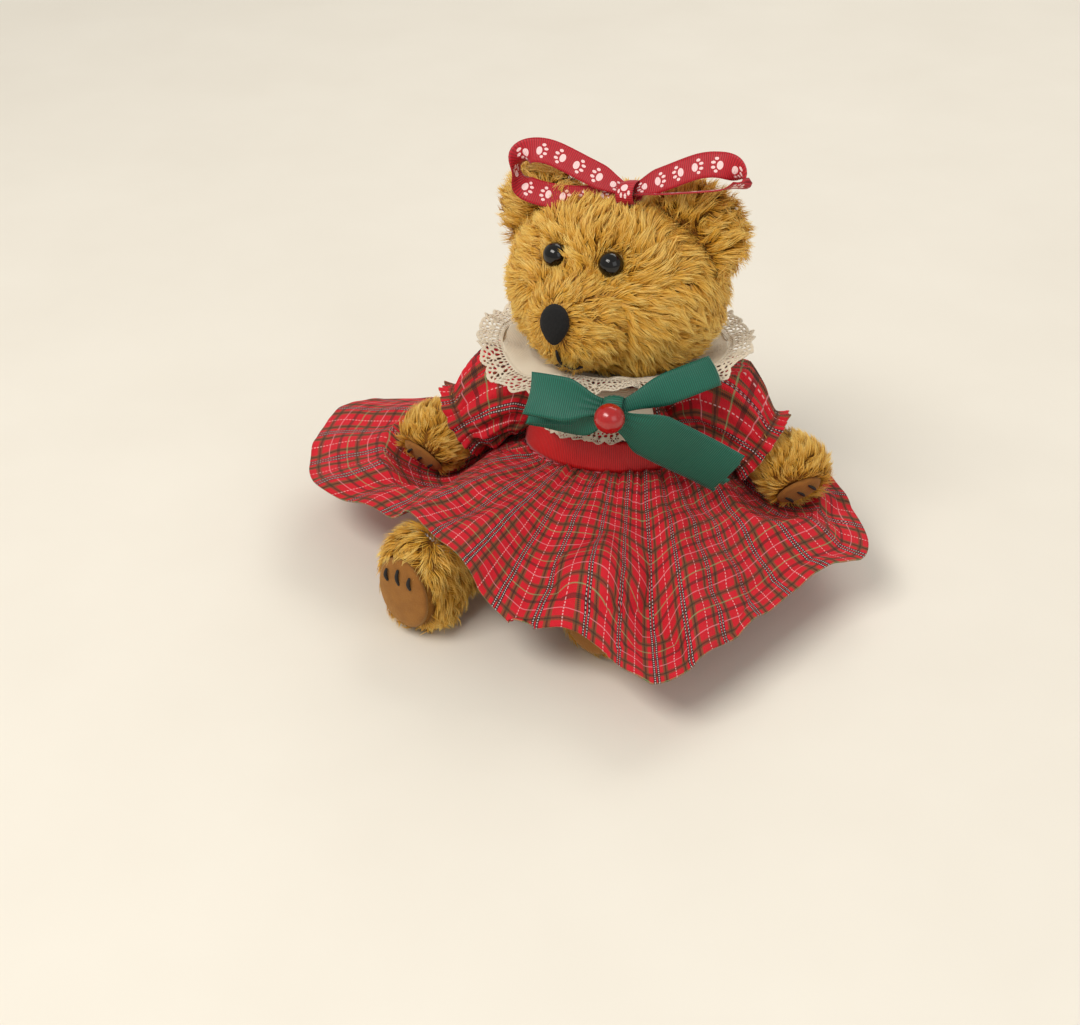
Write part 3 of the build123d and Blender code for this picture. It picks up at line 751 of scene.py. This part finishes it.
def make_limbs():
    for side, word in SIDES:
        leg = leg_axes(side)
        middle = placed(leg, (40, 13.5, -1))
        skin = outer_skin(f"leg_skin_{word}", [f"leg_shell_{word}"], middle, leg[1], (56, 13, 22), 2.2,
                          f"leg_{word}", [f"leg_shell_{word}"], 6)

        def leg_comb(points, leg=leg):
            local = (points - leg[0]) @ leg[1].T
            around = np.array((0, 0, -0.9)) + 0.35 * (points - placed(leg, (40, 13, 0))) / 20
            toe = smooth_step(local[:, 0], 70, 88)[:, None]
            return around - leg[1][0] * (0.55 - 0.2 * toe)

        def leg_trim(points, leg=leg):
            local = (points - leg[0]) @ leg[1].T
            sole = np.hypot((local[:, 1] - 14) / 12.5, local[:, 2] / 17)
            bare = (local[:, 0] > 84) & (sole < 1.0)
            facing = smooth_step(local[:, 1], 0.2, 2.4)
            covered = (1 - smooth_step(local[:, 0], 52, 68)) * smooth_step(local[:, 2], -8, 4)
            if side > 0:
                covered = np.maximum(covered, smooth_step(local[:, 2], 4, 14))
            return np.where(bare, 0.0, 1.0) * facing * (1 - 0.35 * smooth_step(local[:, 0], 76, 88)) \
                * (1 - 0.6 * covered)

        grow_fur(f"leg_fur_{word}", skin, f"leg_{word}", 2.8, 9.0, leg_comb, leg_trim, 51 + side)
        arm = arm_axes(side)
        middle = placed(arm, (26, 19, 0))
        skin = outer_skin(f"arm_skin_{word}", [f"arm_shell_{word}"], middle,
                          turn_matrix("Z", 17).T @ arm[1], (36, 13, 14), 2.2,
                          f"arm_{word}", [f"arm_shell_{word}"], 6)
        facing = math.radians(PALM_TILT)
        palm = placed(arm, (ARM_LENGTH + PALM_BARE * math.cos(facing), PAW_OUT, PALM_BARE * math.sin(facing)))
        outward = arm[1].T @ np.array((math.cos(facing), 0, math.sin(facing)))

        def arm_comb(points, palm=palm, outward=outward):
            return unit(points - palm) - 0.25 * outward + np.array((0, 0, -0.2))

        def arm_trim(points, arm=arm, palm=palm, outward=outward):
            local = (points - arm[0]) @ arm[1].T
            off = points - palm
            height = off @ outward
            reach = np.linalg.norm(off - height[:, None] * outward, axis=1)
            bare = (height > -3.5) & (reach < 8.5)
            return np.where(bare, 0.0, 1.0) * smooth_step(local[:, 0], 24, 29) \
                * (0.62 + 0.38 * smooth_step(reach, 8, 17))

        grow_fur(f"arm_fur_{word}", skin, f"arm_{word}", 3.6, 8.2, arm_comb, arm_trim, 71 + side)
        make_pads(side, word, leg, arm)
    outer_skin("torso_skin", ["torso_shell"], leaned((0, 0, 42)), LEAN.T, (36, 36, 50), 0.6,
               "torso", ["torso_shell"], 6)


def dome_piece(name, slot, centre, across, up, out, radii, height, body, node):
    """Padded oval of suede: seam edge, domed middle."""
    rings, spokes = 10, 56
    points, faces, cloth = [], [], []
    for ring in range(rings + 1):
        share = ring / rings
        rise = height * (1 - share**3.2) if ring < rings else -0.8
        for spoke in range(spokes):
            angle = 2 * math.pi * spoke / spokes
            a, b = math.cos(angle) * radii[0] * share, math.sin(angle) * radii[1] * share
            points.append(centre + across * a + up * b + out * rise)
            cloth.append((a, b))
    for ring in range(rings):
        for spoke in range(spokes):
            after = (spoke + 1) % spokes
            faces.append((ring * spokes + spoke, (ring + 1) * spokes + spoke,
                          (ring + 1) * spokes + after, ring * spokes + after))
    faces.append(tuple(rings * spokes + spoke for spoke in range(spokes))[::-1])
    mesh = mesh_from(name, points, faces, cloth)
    edit = bmesh.new()
    edit.from_mesh(mesh)
    bmesh.ops.remove_doubles(edit, verts=edit.verts, dist=1e-6)
    bmesh.ops.recalc_face_normals(edit, faces=edit.faces)
    edit.to_mesh(mesh)
    edit.free()
    made = add_object(name, mesh, LOOKS[slot])
    settle(made, body, node)
    return made


def thread_piece(name, strokes, radius, body, node):
    """Stout stitches: each stroke is a bowed, tapered thread."""
    points, faces = [], []
    for start, end, bow in strokes:
        middle = (start + end) / 2 + bow
        line, _ = curve_through([start, middle, end], 12)
        ways = unit(np.gradient(line, axis=0))
        for k, (at, way) in enumerate(zip(line, ways)):
            first = unit(np.cross(way, unit(bow)))
            second = np.cross(way, first)
            thick = radius * (0.35 + 0.65 * math.sin(math.pi * (k + 0.6) / 12.2) ** 0.5)
            for spoke in range(8):
                angle = math.pi * spoke / 4
                points.append(at + (first * math.cos(angle) + second * math.sin(angle)) * thick)
        base = len(points) - 96
        for k in range(11):
            for spoke in range(8):
                a, b = base + k * 8 + spoke, base + k * 8 + (spoke + 1) % 8
                faces.append((a, b, b + 8, a + 8))
        faces += [tuple(base + i for i in range(8))[::-1], tuple(base + 88 + i for i in range(8))]
    made = add_object(name, mesh_from(name, points, faces), LOOKS["black_thread"])
    settle(made, body, node)


def make_pads(side, word, leg, arm):
    ahead, outward, up = leg[1]
    sole = placed(leg, (LEG_LENGTH - 1.6, 14, 0))
    dome_piece(f"sole_pad_{word}", "tan_suede", sole, outward, up, ahead, (12.6, 17.0), 1.9,
               f"leg_{word}", f"foot_pad_{word}")
    strokes = []
    for across in (-6.5, 0, 6.5):
        ends = (5.5, 13.0 - abs(across) * 0.25)
        low, high = (placed(leg, (LEG_LENGTH + 0.3, 14 + across * 0.9, z)) for z in ends)
        strokes.append((low, high, ahead * 0.5 + outward * 0.5))
    thread_piece(f"toe_threads_{word}", strokes, 0.75, f"leg_{word}", f"toe_stitches_{word}")
    facing = math.radians(40)
    down, out, front = arm[1]
    palm_out = down * math.cos(facing) + front * math.sin(facing)
    palm_side = np.cross(palm_out, out)
    palm = placed(arm, (ARM_LENGTH, PAW_OUT, 0)) + palm_out * PALM_OUT
    dome_piece(f"palm_pad_{word}", "tan_suede", palm, out, palm_side, palm_out, (10.0, 8.6), 1.7,
               f"arm_{word}", f"paw_pad_{word}")
    strokes = []
    for across in (-5.5, 0, 5.5):
        middle = palm + palm_out * 1.5 + out * across
        reach = palm_side * 3.8
        strokes.append((middle - reach, middle + reach, palm_out * 0.5 + out * 0.5))
    thread_piece(f"claw_threads_{word}", strokes, 0.65, f"arm_{word}", f"claw_stitches_{word}")


# ---- cloth ---------------------------------------------------------------------------
HEM = [(3, 84, 9), (42, 76, 12), (80, 50, 20), (102, 14, 24), (111, -20, 22), (88, -44, 22),
       (73, -68, 20), (54, -98, 30), (35, -116, 14), (13, -101, 29), (-2, -94, 32), (-22, -92, 26),
       (-40, -84, 44), (-62, -66, 52), (-92, -38, 38), (-124, -18, 33), (-135, 10, 34),
       (-130, 42, 38), (-100, 66, 30), (-50, 80, 14), (-3, 84, 9)]


def over_legs(x, y, z, room):
    """Cloth height kept at least room above the legs."""
    for side, _ in SIDES:
        ahead = ahead_of(side)
        dx, dy = x - side * HIP[0], y - HIP[1]
        along = np.clip(dx * ahead[0] + dy * ahead[1], 0, LEG_LENGTH - 12)
        gap = np.minimum(1, np.hypot(dx - along * ahead[0], dy - along * ahead[1]) / 21)
        z = np.maximum(z, HIP[2] + (HIP[2] + 0.5) * np.sqrt(1 - gap * gap) + room)
    return z


def under_arms(x, y, z, room):
    """Cloth height kept at least room below the arms over their travel."""
    arm_balls = ((10, 12, 17.5), (27, 18, 15.5), (ARM_LENGTH, PAW_OUT, PAW_RADIUS + 1.5))
    for side, _ in SIDES:
        for lift in np.linspace(0, ARM_LIFT, 4):
            axes = arm_axes(side, lift)
            for along, out, radius in arm_balls:
                centre = placed(axes, (along, out, 0))
                off = np.hypot(x - centre[0], y - centre[1])
                low = centre[2] - radius + 0.42 * off**2 / radius - room
                z = np.where(off < 1.6 * radius, np.minimum(z, low), z)
    return z


def make_skirt():
    rows, cols = 60, 620
    hem, length = curve_through(HEM, cols)
    spoke, step = np.linspace(0, 1, cols)[None, :], column(rows)
    turn = math.pi / 2 - math.radians(5) - spoke * math.radians(350)
    waist = leaned(np.stack((36.9 * np.cos(turn[0]), 36.9 * np.sin(turn[0]), np.full(cols, 52.4)), axis=1))
    x = waist[None, :, 0] + (hem[None, :, 0] - waist[None, :, 0]) * step
    y = waist[None, :, 1] + (hem[None, :, 1] - waist[None, :, 1]) * step
    z = waist[None, :, 2] + (hem[None, :, 2] - waist[None, :, 2]) * step**1.5
    z = over_legs(x, y, under_arms(x, y, z, 1.2), 3.4)
    grid = np.stack((x, y, z), axis=2)
    normal = unit(np.cross(np.gradient(grid, axis=0), np.gradient(grid, axis=1)))
    normal *= np.sign(normal[..., 2:3] + 1e-6)
    drift = 0.05 * turns(3 * spoke + 0.2) * step
    gathers = np.exp(-step / 0.16) * turns(62 * spoke + 0.35 * turns(9 * spoke))
    gathers = gathers + np.exp(-step / 0.45) * 1.1 * turns(27 * (spoke + drift) + 0.3)
    uneven = 0.55 + 0.45 * turns(3.3 * spoke + 0.6 * step)
    folds = step**1.1 * (3.2 * uneven * turns(9 * (spoke + drift) + 0.4 * turns(2 * spoke))
                         + 1.5 * (1.2 - uneven) * turns(21 * spoke - 3 * drift + 0.4))
    flat = grid.reshape(-1, 3)
    pucker = (ripple(flat, 30, 5) * 1.3 + ripple(flat, 13, 6) * 0.5).reshape(rows, cols)
    start, end = np.array((10.0, -48.0)), np.array((37.0, -118.0))
    way = (end - start) / np.linalg.norm(end - start)
    along = (x - start[0]) * way[0] + (y - start[1]) * way[1]
    off = (x - start[0]) * way[1] - (y - start[1]) * way[0]
    ramp = smooth_step(along, 2, 34) * (1 - 0.35 * smooth_step(along, 60, 80))
    crease = ramp * (-6.5 * np.exp(-((off + 5) / 7.5) ** 2) + 3.5 * np.exp(-((off - 7) / 8) ** 2))
    grid = grid + normal * (gathers + folds + pucker)[..., None]
    grid[..., 2] += crease
    x, y, z = grid[..., 0], grid[..., 1], grid[..., 2]
    z = over_legs(x, y, under_arms(x, y, z, 0.8), 3.0)
    grid[..., 2] = np.maximum(z, 1.0)
    grid[0] = waist
    cloth = np.stack((np.broadcast_to(spoke * length, x.shape), np.broadcast_to(step * 98, x.shape)), axis=2)
    skirt = cloth_piece("skirt", "tartan_cloth", grid, cloth, 0.7)
    settle(skirt, "torso", "dress_skirt")


outline_curve, _ = curve_through([(r, 0, z) for r, z in TORSO], 200)


def torso_radius(z):
    return np.interp(z, outline_curve[:, 2], outline_curve[:, 0])


def on_torso(turn, z, grow):
    """Upright points on the torso, grown outward, kept off the shoulder joints."""
    radius = torso_radius(z) + grow
    points = spread(radius * np.cos(turn), radius * np.sin(turn), z)
    tilt = math.radians(SHOULDER_TILT)
    for side, _ in SIDES:
        outward = np.array((side * math.cos(tilt), 0, math.sin(tilt)))
        off = points - np.array((side * SHOULDER_X, 0, SHOULDER_Z))
        height = off @ outward
        reach = np.sqrt(np.maximum((off * off).sum(axis=-1) - height**2, 0))
        over = np.where(reach < 27.6, np.maximum(height + 0.55, 0), 0)
        points = points - over[..., None] * outward
    return points


def make_bodice():
    rows, cols = 34, 260
    turn = full_turn(cols)
    z = np.linspace(50.5, 88.5, rows)[:, None]
    folds = 0.55 * np.sin(44 * turn + 1.5 * np.sin(3 * turn)) * (0.5 + 0.5 * np.exp(-(z - 66) / 8))
    grid = leaned(on_torso(turn, z + 0 * turn, 1.5 + np.clip(folds, -0.5, 0.8)))
    cloth = spread(turn * 42, z + 0 * turn)
    bodice = cloth_piece("bodice", "tartan_cloth", grid, cloth, 0.4, round_columns=True)
    settle(bodice, "torso", "dress_bodice")


def make_sash():
    rows, cols = 9, 200
    turn = full_turn(cols)
    share = column(rows)
    z = 53.6 + 12.7 * share + 0.8 * np.sin(turn - 0.6)
    grow = 2.5 + 0.35 * np.sin(math.pi * share) + 0.2 * np.sin(9 * turn)
    grid = leaned(on_torso(turn, z, grow))
    cloth = spread(turn * 36, 12.7 * share - 6.3)
    sash = cloth_piece("waist_ribbon", "red_sash", grid, cloth, 0.5, round_columns=True)
    settle(sash, "torso", "waist_sash")


# share of the length, centre along and outward, section's turn, half sizes, gather depth
SLEEVE_STATIONS = np.array([(0.00, 1, -0.7, 90, 14.5, 14.5, 0.9), (0.12, 1.5, 4, 80, 19.4, 18.0, 1.6),
                            (0.34, 4.5, 10, 66, 22.0, 19.0, 2.0), (0.58, 13, 15.5, 46, 20.6, 18.6, 1.9),
                            (0.78, 22, 18.8, 28, 17.6, 16.6, 1.7), (0.88, 27.4, 20.3, 22, 13.7, 13.4, 0.8),
                            (0.94, 30.2, 21.4, 22, 15.0, 14.7, 1.2), (1.00, 32.6, 22.4, 22, 16.6, 16.2, 1.5)])


def make_sleeves():
    rows, cols = 70, 260
    turn = full_turn(cols)
    step = np.linspace(0, 1, rows)
    values = [np.interp(step, SLEEVE_STATIONS[:, 0], SLEEVE_STATIONS[:, k])[:, None] for k in range(1, 7)]
    kernel = np.ones(5) / 5
    for k in (0, 1, 2, 3, 4):
        ends = np.pad(values[k][:, 0], 2, mode="edge")
        smoothed = np.convolve(ends, kernel, "valid")
        smoothed[:3], smoothed[-4:] = values[k][:3, 0], values[k][-4:, 0]
        values[k] = smoothed[:, None]
    cx, cy, tilt, wide, deep, gather = values
    tilt = np.radians(tilt)
    for side, word in SIDES:
        phase = 0.7 * side
        share = step[:, None]
        wave = np.sin(19 * turn + 2.2 * np.sin(2 * turn + phase) + 5 * share) * 0.62 \
            + np.sin(11 * turn + phase * 3 - 3 * share) * 0.5
        fine = np.sin(34 * turn + 1.5 * np.sin(3 * turn + phase))
        cuff = np.exp(-((share - 0.88) / 0.07) ** 2)
        swell = gather * (wave * (1 - 0.6 * cuff) + fine * 0.45 * cuff)
        fuller = 0.40 if side > 0 else 0.22
        puff = 1 - fuller * np.cos(turn) * np.sin(math.pi * np.clip(share / 0.8, 0, 1))
        a, b = wide * puff + swell, deep * puff + swell
        local = np.stack((cx + a * np.cos(turn) * np.sin(tilt), cy - a * np.cos(turn) * np.cos(tilt),
                          b * np.sin(turn)), axis=2)
        local[..., 1] = np.maximum(local[..., 1], np.where(share < 0.05, -0.7, 0.6))
        upright = placed(arm_axes(side), local) @ LEAN
        below = np.where(np.hypot(upright[..., 0], upright[..., 1]) < 60, 90.0, 200.0)
        upright[..., 2] = np.minimum(upright[..., 2], below)
        grid = leaned(upright)
        cloth = spread(turn * 26, share * 44)
        sleeve = cloth_piece(f"puff_sleeve_{word}", "tartan_cloth", grid, cloth, 0.6, round_columns=True)
        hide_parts(f"sleeve_{word}")
        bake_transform(sleeve)


# ---- collar, bib and lace ------------------------------------------------------------
def collar_edge(turn):
    """Outer radius of the lace: less at the front, where the bow sits."""
    front = smooth_step(np.abs(np.angle(np.exp(1j * (turn + math.pi / 2)))), 0.25, 0.8)
    return 50.0 + 8.5 * front


def collar_height(turn, radius):
    """Upright height of the collar: it rises round the back and dips at the front."""
    away = np.abs(np.angle(np.exp(1j * (turn + math.pi / 2))))
    side = smooth_step(away, 0.5, 1.5)
    z = np.interp(radius, (18, 27, 36, 44), (89.3, 90.0, 93.2, 93.8))
    outer = np.clip((radius - 38) / 18, 0, 1.2)
    hang = np.exp(-(np.angle(np.exp(1j * (turn + 2.35))) / 0.55) ** 2)
    return z + outer * (7.5 * side - 2.2 * (1 - side) - 6.0 * hang) - 1.5 * outer**2 * side


def make_collar():
    rows, cols = 30, 420
    turn = full_turn(cols)
    share = column(rows)
    rim = collar_edge(turn) - 11.5
    radius = 19 + (rim - 19) * share
    z = collar_height(turn, radius) + share**2 * (0.7 * np.sin(9 * turn + 1) + 0.4 * np.sin(17 * turn))
    grid = leaned(np.stack((radius * np.cos(turn), radius * np.sin(turn), z), axis=2))
    cloth = spread(turn * 38, radius)
    collar = cloth_piece("cotton_collar", "cream_cloth", grid, cloth, 0.6, round_columns=True)
    settle(collar, "torso", "collar")

    def at(along, across, around):
        spin = along / around * 2 * math.pi
        out = collar_edge(spin) - 12.0 + across
        rise = collar_height(spin, out) + 0.5
        ruffle = (across / 11) * (1.5 * np.sin(13 * spin) + 0.9 * np.sin(29 * spin + 1))
        return leaned(np.stack((out * np.cos(spin), out * np.sin(spin), rise + ruffle), axis=2))

    lace_band("crochet_lace", at, 336.2, 11.5, "collar_lace", True)


def lace_band(name, at, length, width, node, closed, cell=0.36):
    """Scalloped crochet lace with real holes, from a map of length and width to places."""
    cols, rows = int(length / cell), int(width / cell)
    along, across = np.meshgrid(np.linspace(0, length, cols, endpoint=not closed),
                                np.linspace(0, width, rows))
    grid = at(along, across, length)
    scallop = 8.2
    u = (along[:-1] + along[1:]) / 2 if closed else (along[:-1, :-1] + along[1:, 1:]) / 2
    w = (across[:-1] + across[1:]) / 2 if closed else (across[:-1, :-1] + across[1:, 1:]) / 2
    if closed:
        u = u + cell / 2
    arch = np.abs(np.sin(math.pi * u / scallop))
    keep = w < width - 2.0 + 1.9 * arch**0.7

    def holes(period, height, radius_u, radius_w, offset=0.0):
        du = (u + offset) % period - period / 2
        return (du / radius_u) ** 2 + ((w - height) / radius_w) ** 2 < 1

    scale = width / 11.5
    keep &= ~holes(2.05, 1.7 * scale, 0.62, 0.62 * scale)
    keep &= ~holes(2.7333, 3.7 * scale, 0.85, 0.95 * scale, 1.0)
    centre_u, centre_w = (u % scallop) - scallop / 2, w - 5.4 * scale
    reach, angle = np.hypot(centre_u, centre_w), np.arctan2(centre_w, centre_u)
    fan = (np.abs(reach - 2.3 * scale) < 0.75 * scale) & (np.cos(angle * 8) > -0.1) & (centre_w > -0.6)
    keep &= ~fan
    eyelets = (np.abs(reach - 4.25 * scale) < 0.5 * scale) & (np.cos(angle * 14) > 0.1)
    keep &= ~(eyelets & (centre_w > 0.6 * scale))
    made = cloth_piece(name, "cream_lace", grid, np.stack((along, across), axis=2), 0.45,
                       round_columns=closed, keep=keep)
    edit = bmesh.new()
    edit.from_mesh(made.data)
    for _ in range(2):
        relax(edit, [v for v in edit.verts if v.is_boundary])
    edit.to_mesh(made.data)
    edit.free()
    settle(made, "torso", node)


def make_bib():
    rows, cols = 16, 90
    x_share = np.linspace(-1, 1, cols)[None, :]
    share = column(rows)
    turn = -math.pi / 2 + x_share * 0.66 + 0 * share
    low = 70.0 + 3.2 * x_share**2 + 1.6 * x_share
    z = 85 + (low - 85) * share
    grow = 3.2 + 1.6 * share + 0.8 * np.sin(9 * x_share + 1) * share + 0.5 * np.sin(math.pi * share)
    grid = leaned(on_torso(turn, z, grow))
    cloth = spread(x_share * 24, z)
    bib = cloth_piece("bib_flap", "cream_cloth", grid, cloth, 0.5)
    settle(bib, "torso", "bib")

    def at(along, across, around):
        x = along / around * 2 - 1
        drop = 70.4 + 3.2 * x**2 + 1.6 * x - across * 0.82
        grow = 5.0 + 0.8 * np.sin(9 * x + 1) + across * 0.28 + 0.9 * np.sin(along * 1.1) * across / 6
        return leaned(on_torso(-math.pi / 2 + x * 0.70, np.maximum(drop, 66.4), grow))

    lace_band("bib_edging", at, 60.0, 6.4, "bib_lace", False, 0.3)


# ---- ribbons -------------------------------------------------------------------------
def ribbon_piece(name, slot, line, across, width, body, node, place, widths, curl, frayed=False):
    """Ribbon along a line of points; across says which way its width lies at each."""
    cols, rows = len(line), 13 if width > 14 else 9
    tangent = unit(np.gradient(line, axis=0))
    across = unit(across - tangent * (across * tangent).sum(axis=1, keepdims=True))
    normal = np.cross(tangent, across)
    half = np.linspace(-0.5, 0.5, rows)[:, None]
    lift = curl * (1 - (2 * half) ** 2) + 0.25 * (1 - widths)[None, :] * np.cos(half * 26) * width * 0.22
    grid = line[None] + across[None] * (half * width * widths)[..., None] + normal[None] * lift[..., None]
    length = np.concatenate(([0], np.cumsum(np.linalg.norm(np.diff(line, axis=0), axis=1))))
    cloth = spread(length[None, :], half * width)
    keep = None
    if frayed:
        rng = np.random.default_rng(9)
        ends = cols - 1 - rng.integers(0, 5, rows - 1)
        keep = np.arange(cols - 1)[None, :] < ends[:, None]
    made = cloth_piece(name, slot, place(grid), cloth, 0.35, keep=keep)
    settle(made, body, *([node] if node else []))


def make_hair_bow():
    place_turn = turn_matrix("Y", -4)
    up = np.array((-0.10, 0.40, 0.91))
    depth = np.array((0.15, -0.90, 0.40))

    def place(points):
        return on_head(points @ place_turn.T + np.array((9.5, -12, HEAD_Z + 41)))

    # the picture's left loop stands for the bear's right CAD loop
    left = [(-2, 1), (-18, 8), (-35, 14.5), (-46, 13.5), (-50, 6), (-45, -1), (-26, -3.5), (-3, -1)]
    right = [(2, 1), (16, 7), (32, 13), (44, 13), (49, 8), (42, 4.5), (22, 1.5), (3, -0.5)]
    rows = (("left", "hair_bow_loop_right", left, 180), ("right", "hair_bow_loop_left", right, 104))
    for word, node, outline, twist in rows:
        bowed = [(x, -1.5 * math.sin(i / 7 * math.pi), z) for i, (x, z) in enumerate(outline)]
        line, _ = curve_through(bowed, 120)
        share = np.linspace(0, 1, 120)
        angle = np.radians(twist) * smooth_step(share, 0.38, 0.62)
        across = up * np.cos(angle)[:, None] + depth * np.sin(angle)[:, None]
        widths = 0.55 + 0.45 * smooth_step(np.minimum(share, 1 - share), 0.0, 0.12)
        ribbon_piece(f"hair_ribbon_{word}", "red_ribbon", line, across, 10.0, "head", node, place,
                     widths, 0.3)
    turn = np.linspace(0, 2 * math.pi, 40)
    line = np.stack((0.3 * np.sin(turn), 5.0 * np.cos(turn), 4.4 * np.sin(turn)), axis=1)
    across = np.tile((1.0, 0.0, 0.15), (40, 1))
    ribbon_piece("hair_ribbon_knot", "red_ribbon", line, across, 8.0, "head", "hair_bow_knot", place,
                 np.full(40, 0.92), 0.5)


def make_neck_bow():
    upright = turn_matrix("X", 62)
    swept = turn_matrix("Z", 30) @ turn_matrix("Y", -16) @ upright

    def placer(matrix):
        return lambda points: leaned(points @ matrix.T + BOW)

    right = [(-3, 1.6), (-12, 3.0), (-22, 4.0), (-31, 2.8), (-34, 0), (-30, -2.6), (-19, -3.4),
             (-10, -2.4), (-3, -1.4)]
    left = [(3, 1.4), (12, 2.4), (26, 2.8), (39, 2.0), (44, 0), (38, -2.0), (22, -2.6), (10, -2.0), (3, -1.2)]
    share = np.linspace(0, 1, 110)
    pinch = 0.42 + 0.58 * smooth_step(np.minimum(share, 1 - share), 0.02, 0.26)
    raised = turn_matrix("Y", 7) @ upright
    for word, outline, matrix, width in (("right", right, raised, 17.0), ("left", left, swept, 12.5)):
        line, _ = curve_through([(x, 0, z) for x, z in outline], 110)
        across = np.tile((0.0, 1.0, 0.0), (110, 1)) + np.array((0, 0, 0.12)) * np.sin(share * 9)[:, None]
        ribbon_piece(f"bow_loop_{word}", "green_ribbon", line, across, width, "torso",
                     f"neck_ribbon_loop_{word}", placer(matrix), pinch, 0.9)
    second = [(-3, 0.6), (-14, -5.0), (-26, -7.0), (-33, -7.5), (-34, -9.5), (-26, -11.0),
              (-12, -7), (-3, -1.6)]
    line, _ = curve_through([(x, 0, z) for x, z in second], 110)
    across = np.tile((0.05, 0.9, 0.25), (110, 1))
    lower = turn_matrix("X", 50)
    ribbon_piece("bow_loop_lower", "green_ribbon", line, across, 11.0, "torso", None, placer(lower),
                 pinch, 0.7)
    turn = np.linspace(0, 2 * math.pi, 40)
    line = np.stack((0.2 * np.sin(turn), 3.4 * np.cos(turn), 5.2 * np.sin(turn)), axis=1)
    ribbon_piece("bow_knot", "green_ribbon", line, np.tile((1.0, 0.0, 0.1), (40, 1)), 10.0, "torso",
                 "neck_ribbon_knot", placer(np.eye(3)), np.full(40, 0.75), 0.7)
    tails = (("left", [(3, -4, -2), (12, 0, -7), (27, 7, -17), (41, 14, -26), (47, 17, -30)], 22.0,
              (0.42, -0.25, 1.0), 0.45),
             ("right", [(-4, -1, -4), (-10, 0, -6.5), (-22, 3, -7.5), (-33, 7, -7)], 11.0,
              (0.0, -0.3, 1.0), 0.5))
    for word, points, width, way, start in tails:
        line, _ = curve_through(points, 90)
        share = np.linspace(0, 1, 90)
        line = line + np.array((0.1, -1.0, 0.1)) * (0.9 * np.sin(share * 7.0))[:, None]
        widths = start + (1 - start) * smooth_step(share, 0.0, 0.3)
        ribbon_piece(f"bow_tail_{word}", "green_ribbon", line, np.tile(way, (90, 1)), width, "torso",
                     f"neck_ribbon_tail_{word}", placer(np.eye(3)), widths, 0.7, frayed=True)


def make_bead_and_nose():
    bead, nose = leaned((BOW[0], BOW[1] - 9.1, BOW[2])), on_head((0, -54.2, HEAD_Z - 3))
    rows = (("glass_bead", "red_bead", "torso", "bow_bead", bead, LEAN.T, (6, 6, 6)),
            ("flocked_nose", "nose_flock", "head", "nose", nose, HEAD.T, (5.9, 5.4, 8.2)))
    for name, slot, body, node, centre, axes, radii in rows:
        def place(x, y, z, slot=slot, centre=centre, axes=axes, radii=radii):
            if slot == "nose_flock":
                taper = 1 - 0.30 * max(0.0, -z) ** 1.3 + 0.05 * z
                spot = np.array((x * taper, y * (0.9 + 0.1 * z), z))
                spot = spot * (1 + 0.012 * math.sin(x * 37) * math.sin(z * 41 + y * 23))
            else:
                spot = np.array((x * (0.93 if math.hypot(y, z) < 0.22 else 1.0), y, z * 0.97))
            return centre + (spot * radii) @ axes

        mesh = ball(name, 5, place)
        made = add_object(name, mesh, LOOKS[slot])
        settle(made, body, node)
    strokes = []
    for points in ([(0.3, -14), (0, -18.5), (0.2, -21)], [(0, -20.6), (-3.2, -23.6), (-8.0, -22.6)],
                   [(0, -20.6), (3.0, -23.4), (7.2, -22.2)]):
        line = [muzzle_point(x, HEAD_Z + z) for x, z in points]
        strokes.append((line[0], line[2], line[1] - (line[0] + line[2]) / 2))
    thread_piece("mouth_threads", strokes, 0.75, "head", "mouth_stitching")


def muzzle_point(x, z):
    """On the muzzle's surface a little proud, at upright x and z."""
    inside = 1 - (x / 20.6) ** 2 - ((z - HEAD_Z + 6) / 20.6) ** 2
    return on_head((x, -32 - 22.6 * math.sqrt(max(0.02, inside)), z))


# ---- carried-over CAD nodes ----------------------------------------------------------
def dress_nodes():
    slots = {entry["node"]: entry["material_slot"] for entry in frame["record"]["subparts"]}
    for name, obj in frame["nodes"].items():
        look = LOOKS[slots[name]]
        if not obj.material_slots:
            obj.data.materials.append(look)
        for place in obj.material_slots:
            place.link = "OBJECT"
            place.material = look


dress_nodes()
make_head()
make_limbs()
make_skirt()
make_bodice()
make_sash()
make_sleeves()
make_collar()
make_bib()
make_hair_bow()
make_neck_bow()
make_bead_and_nose()
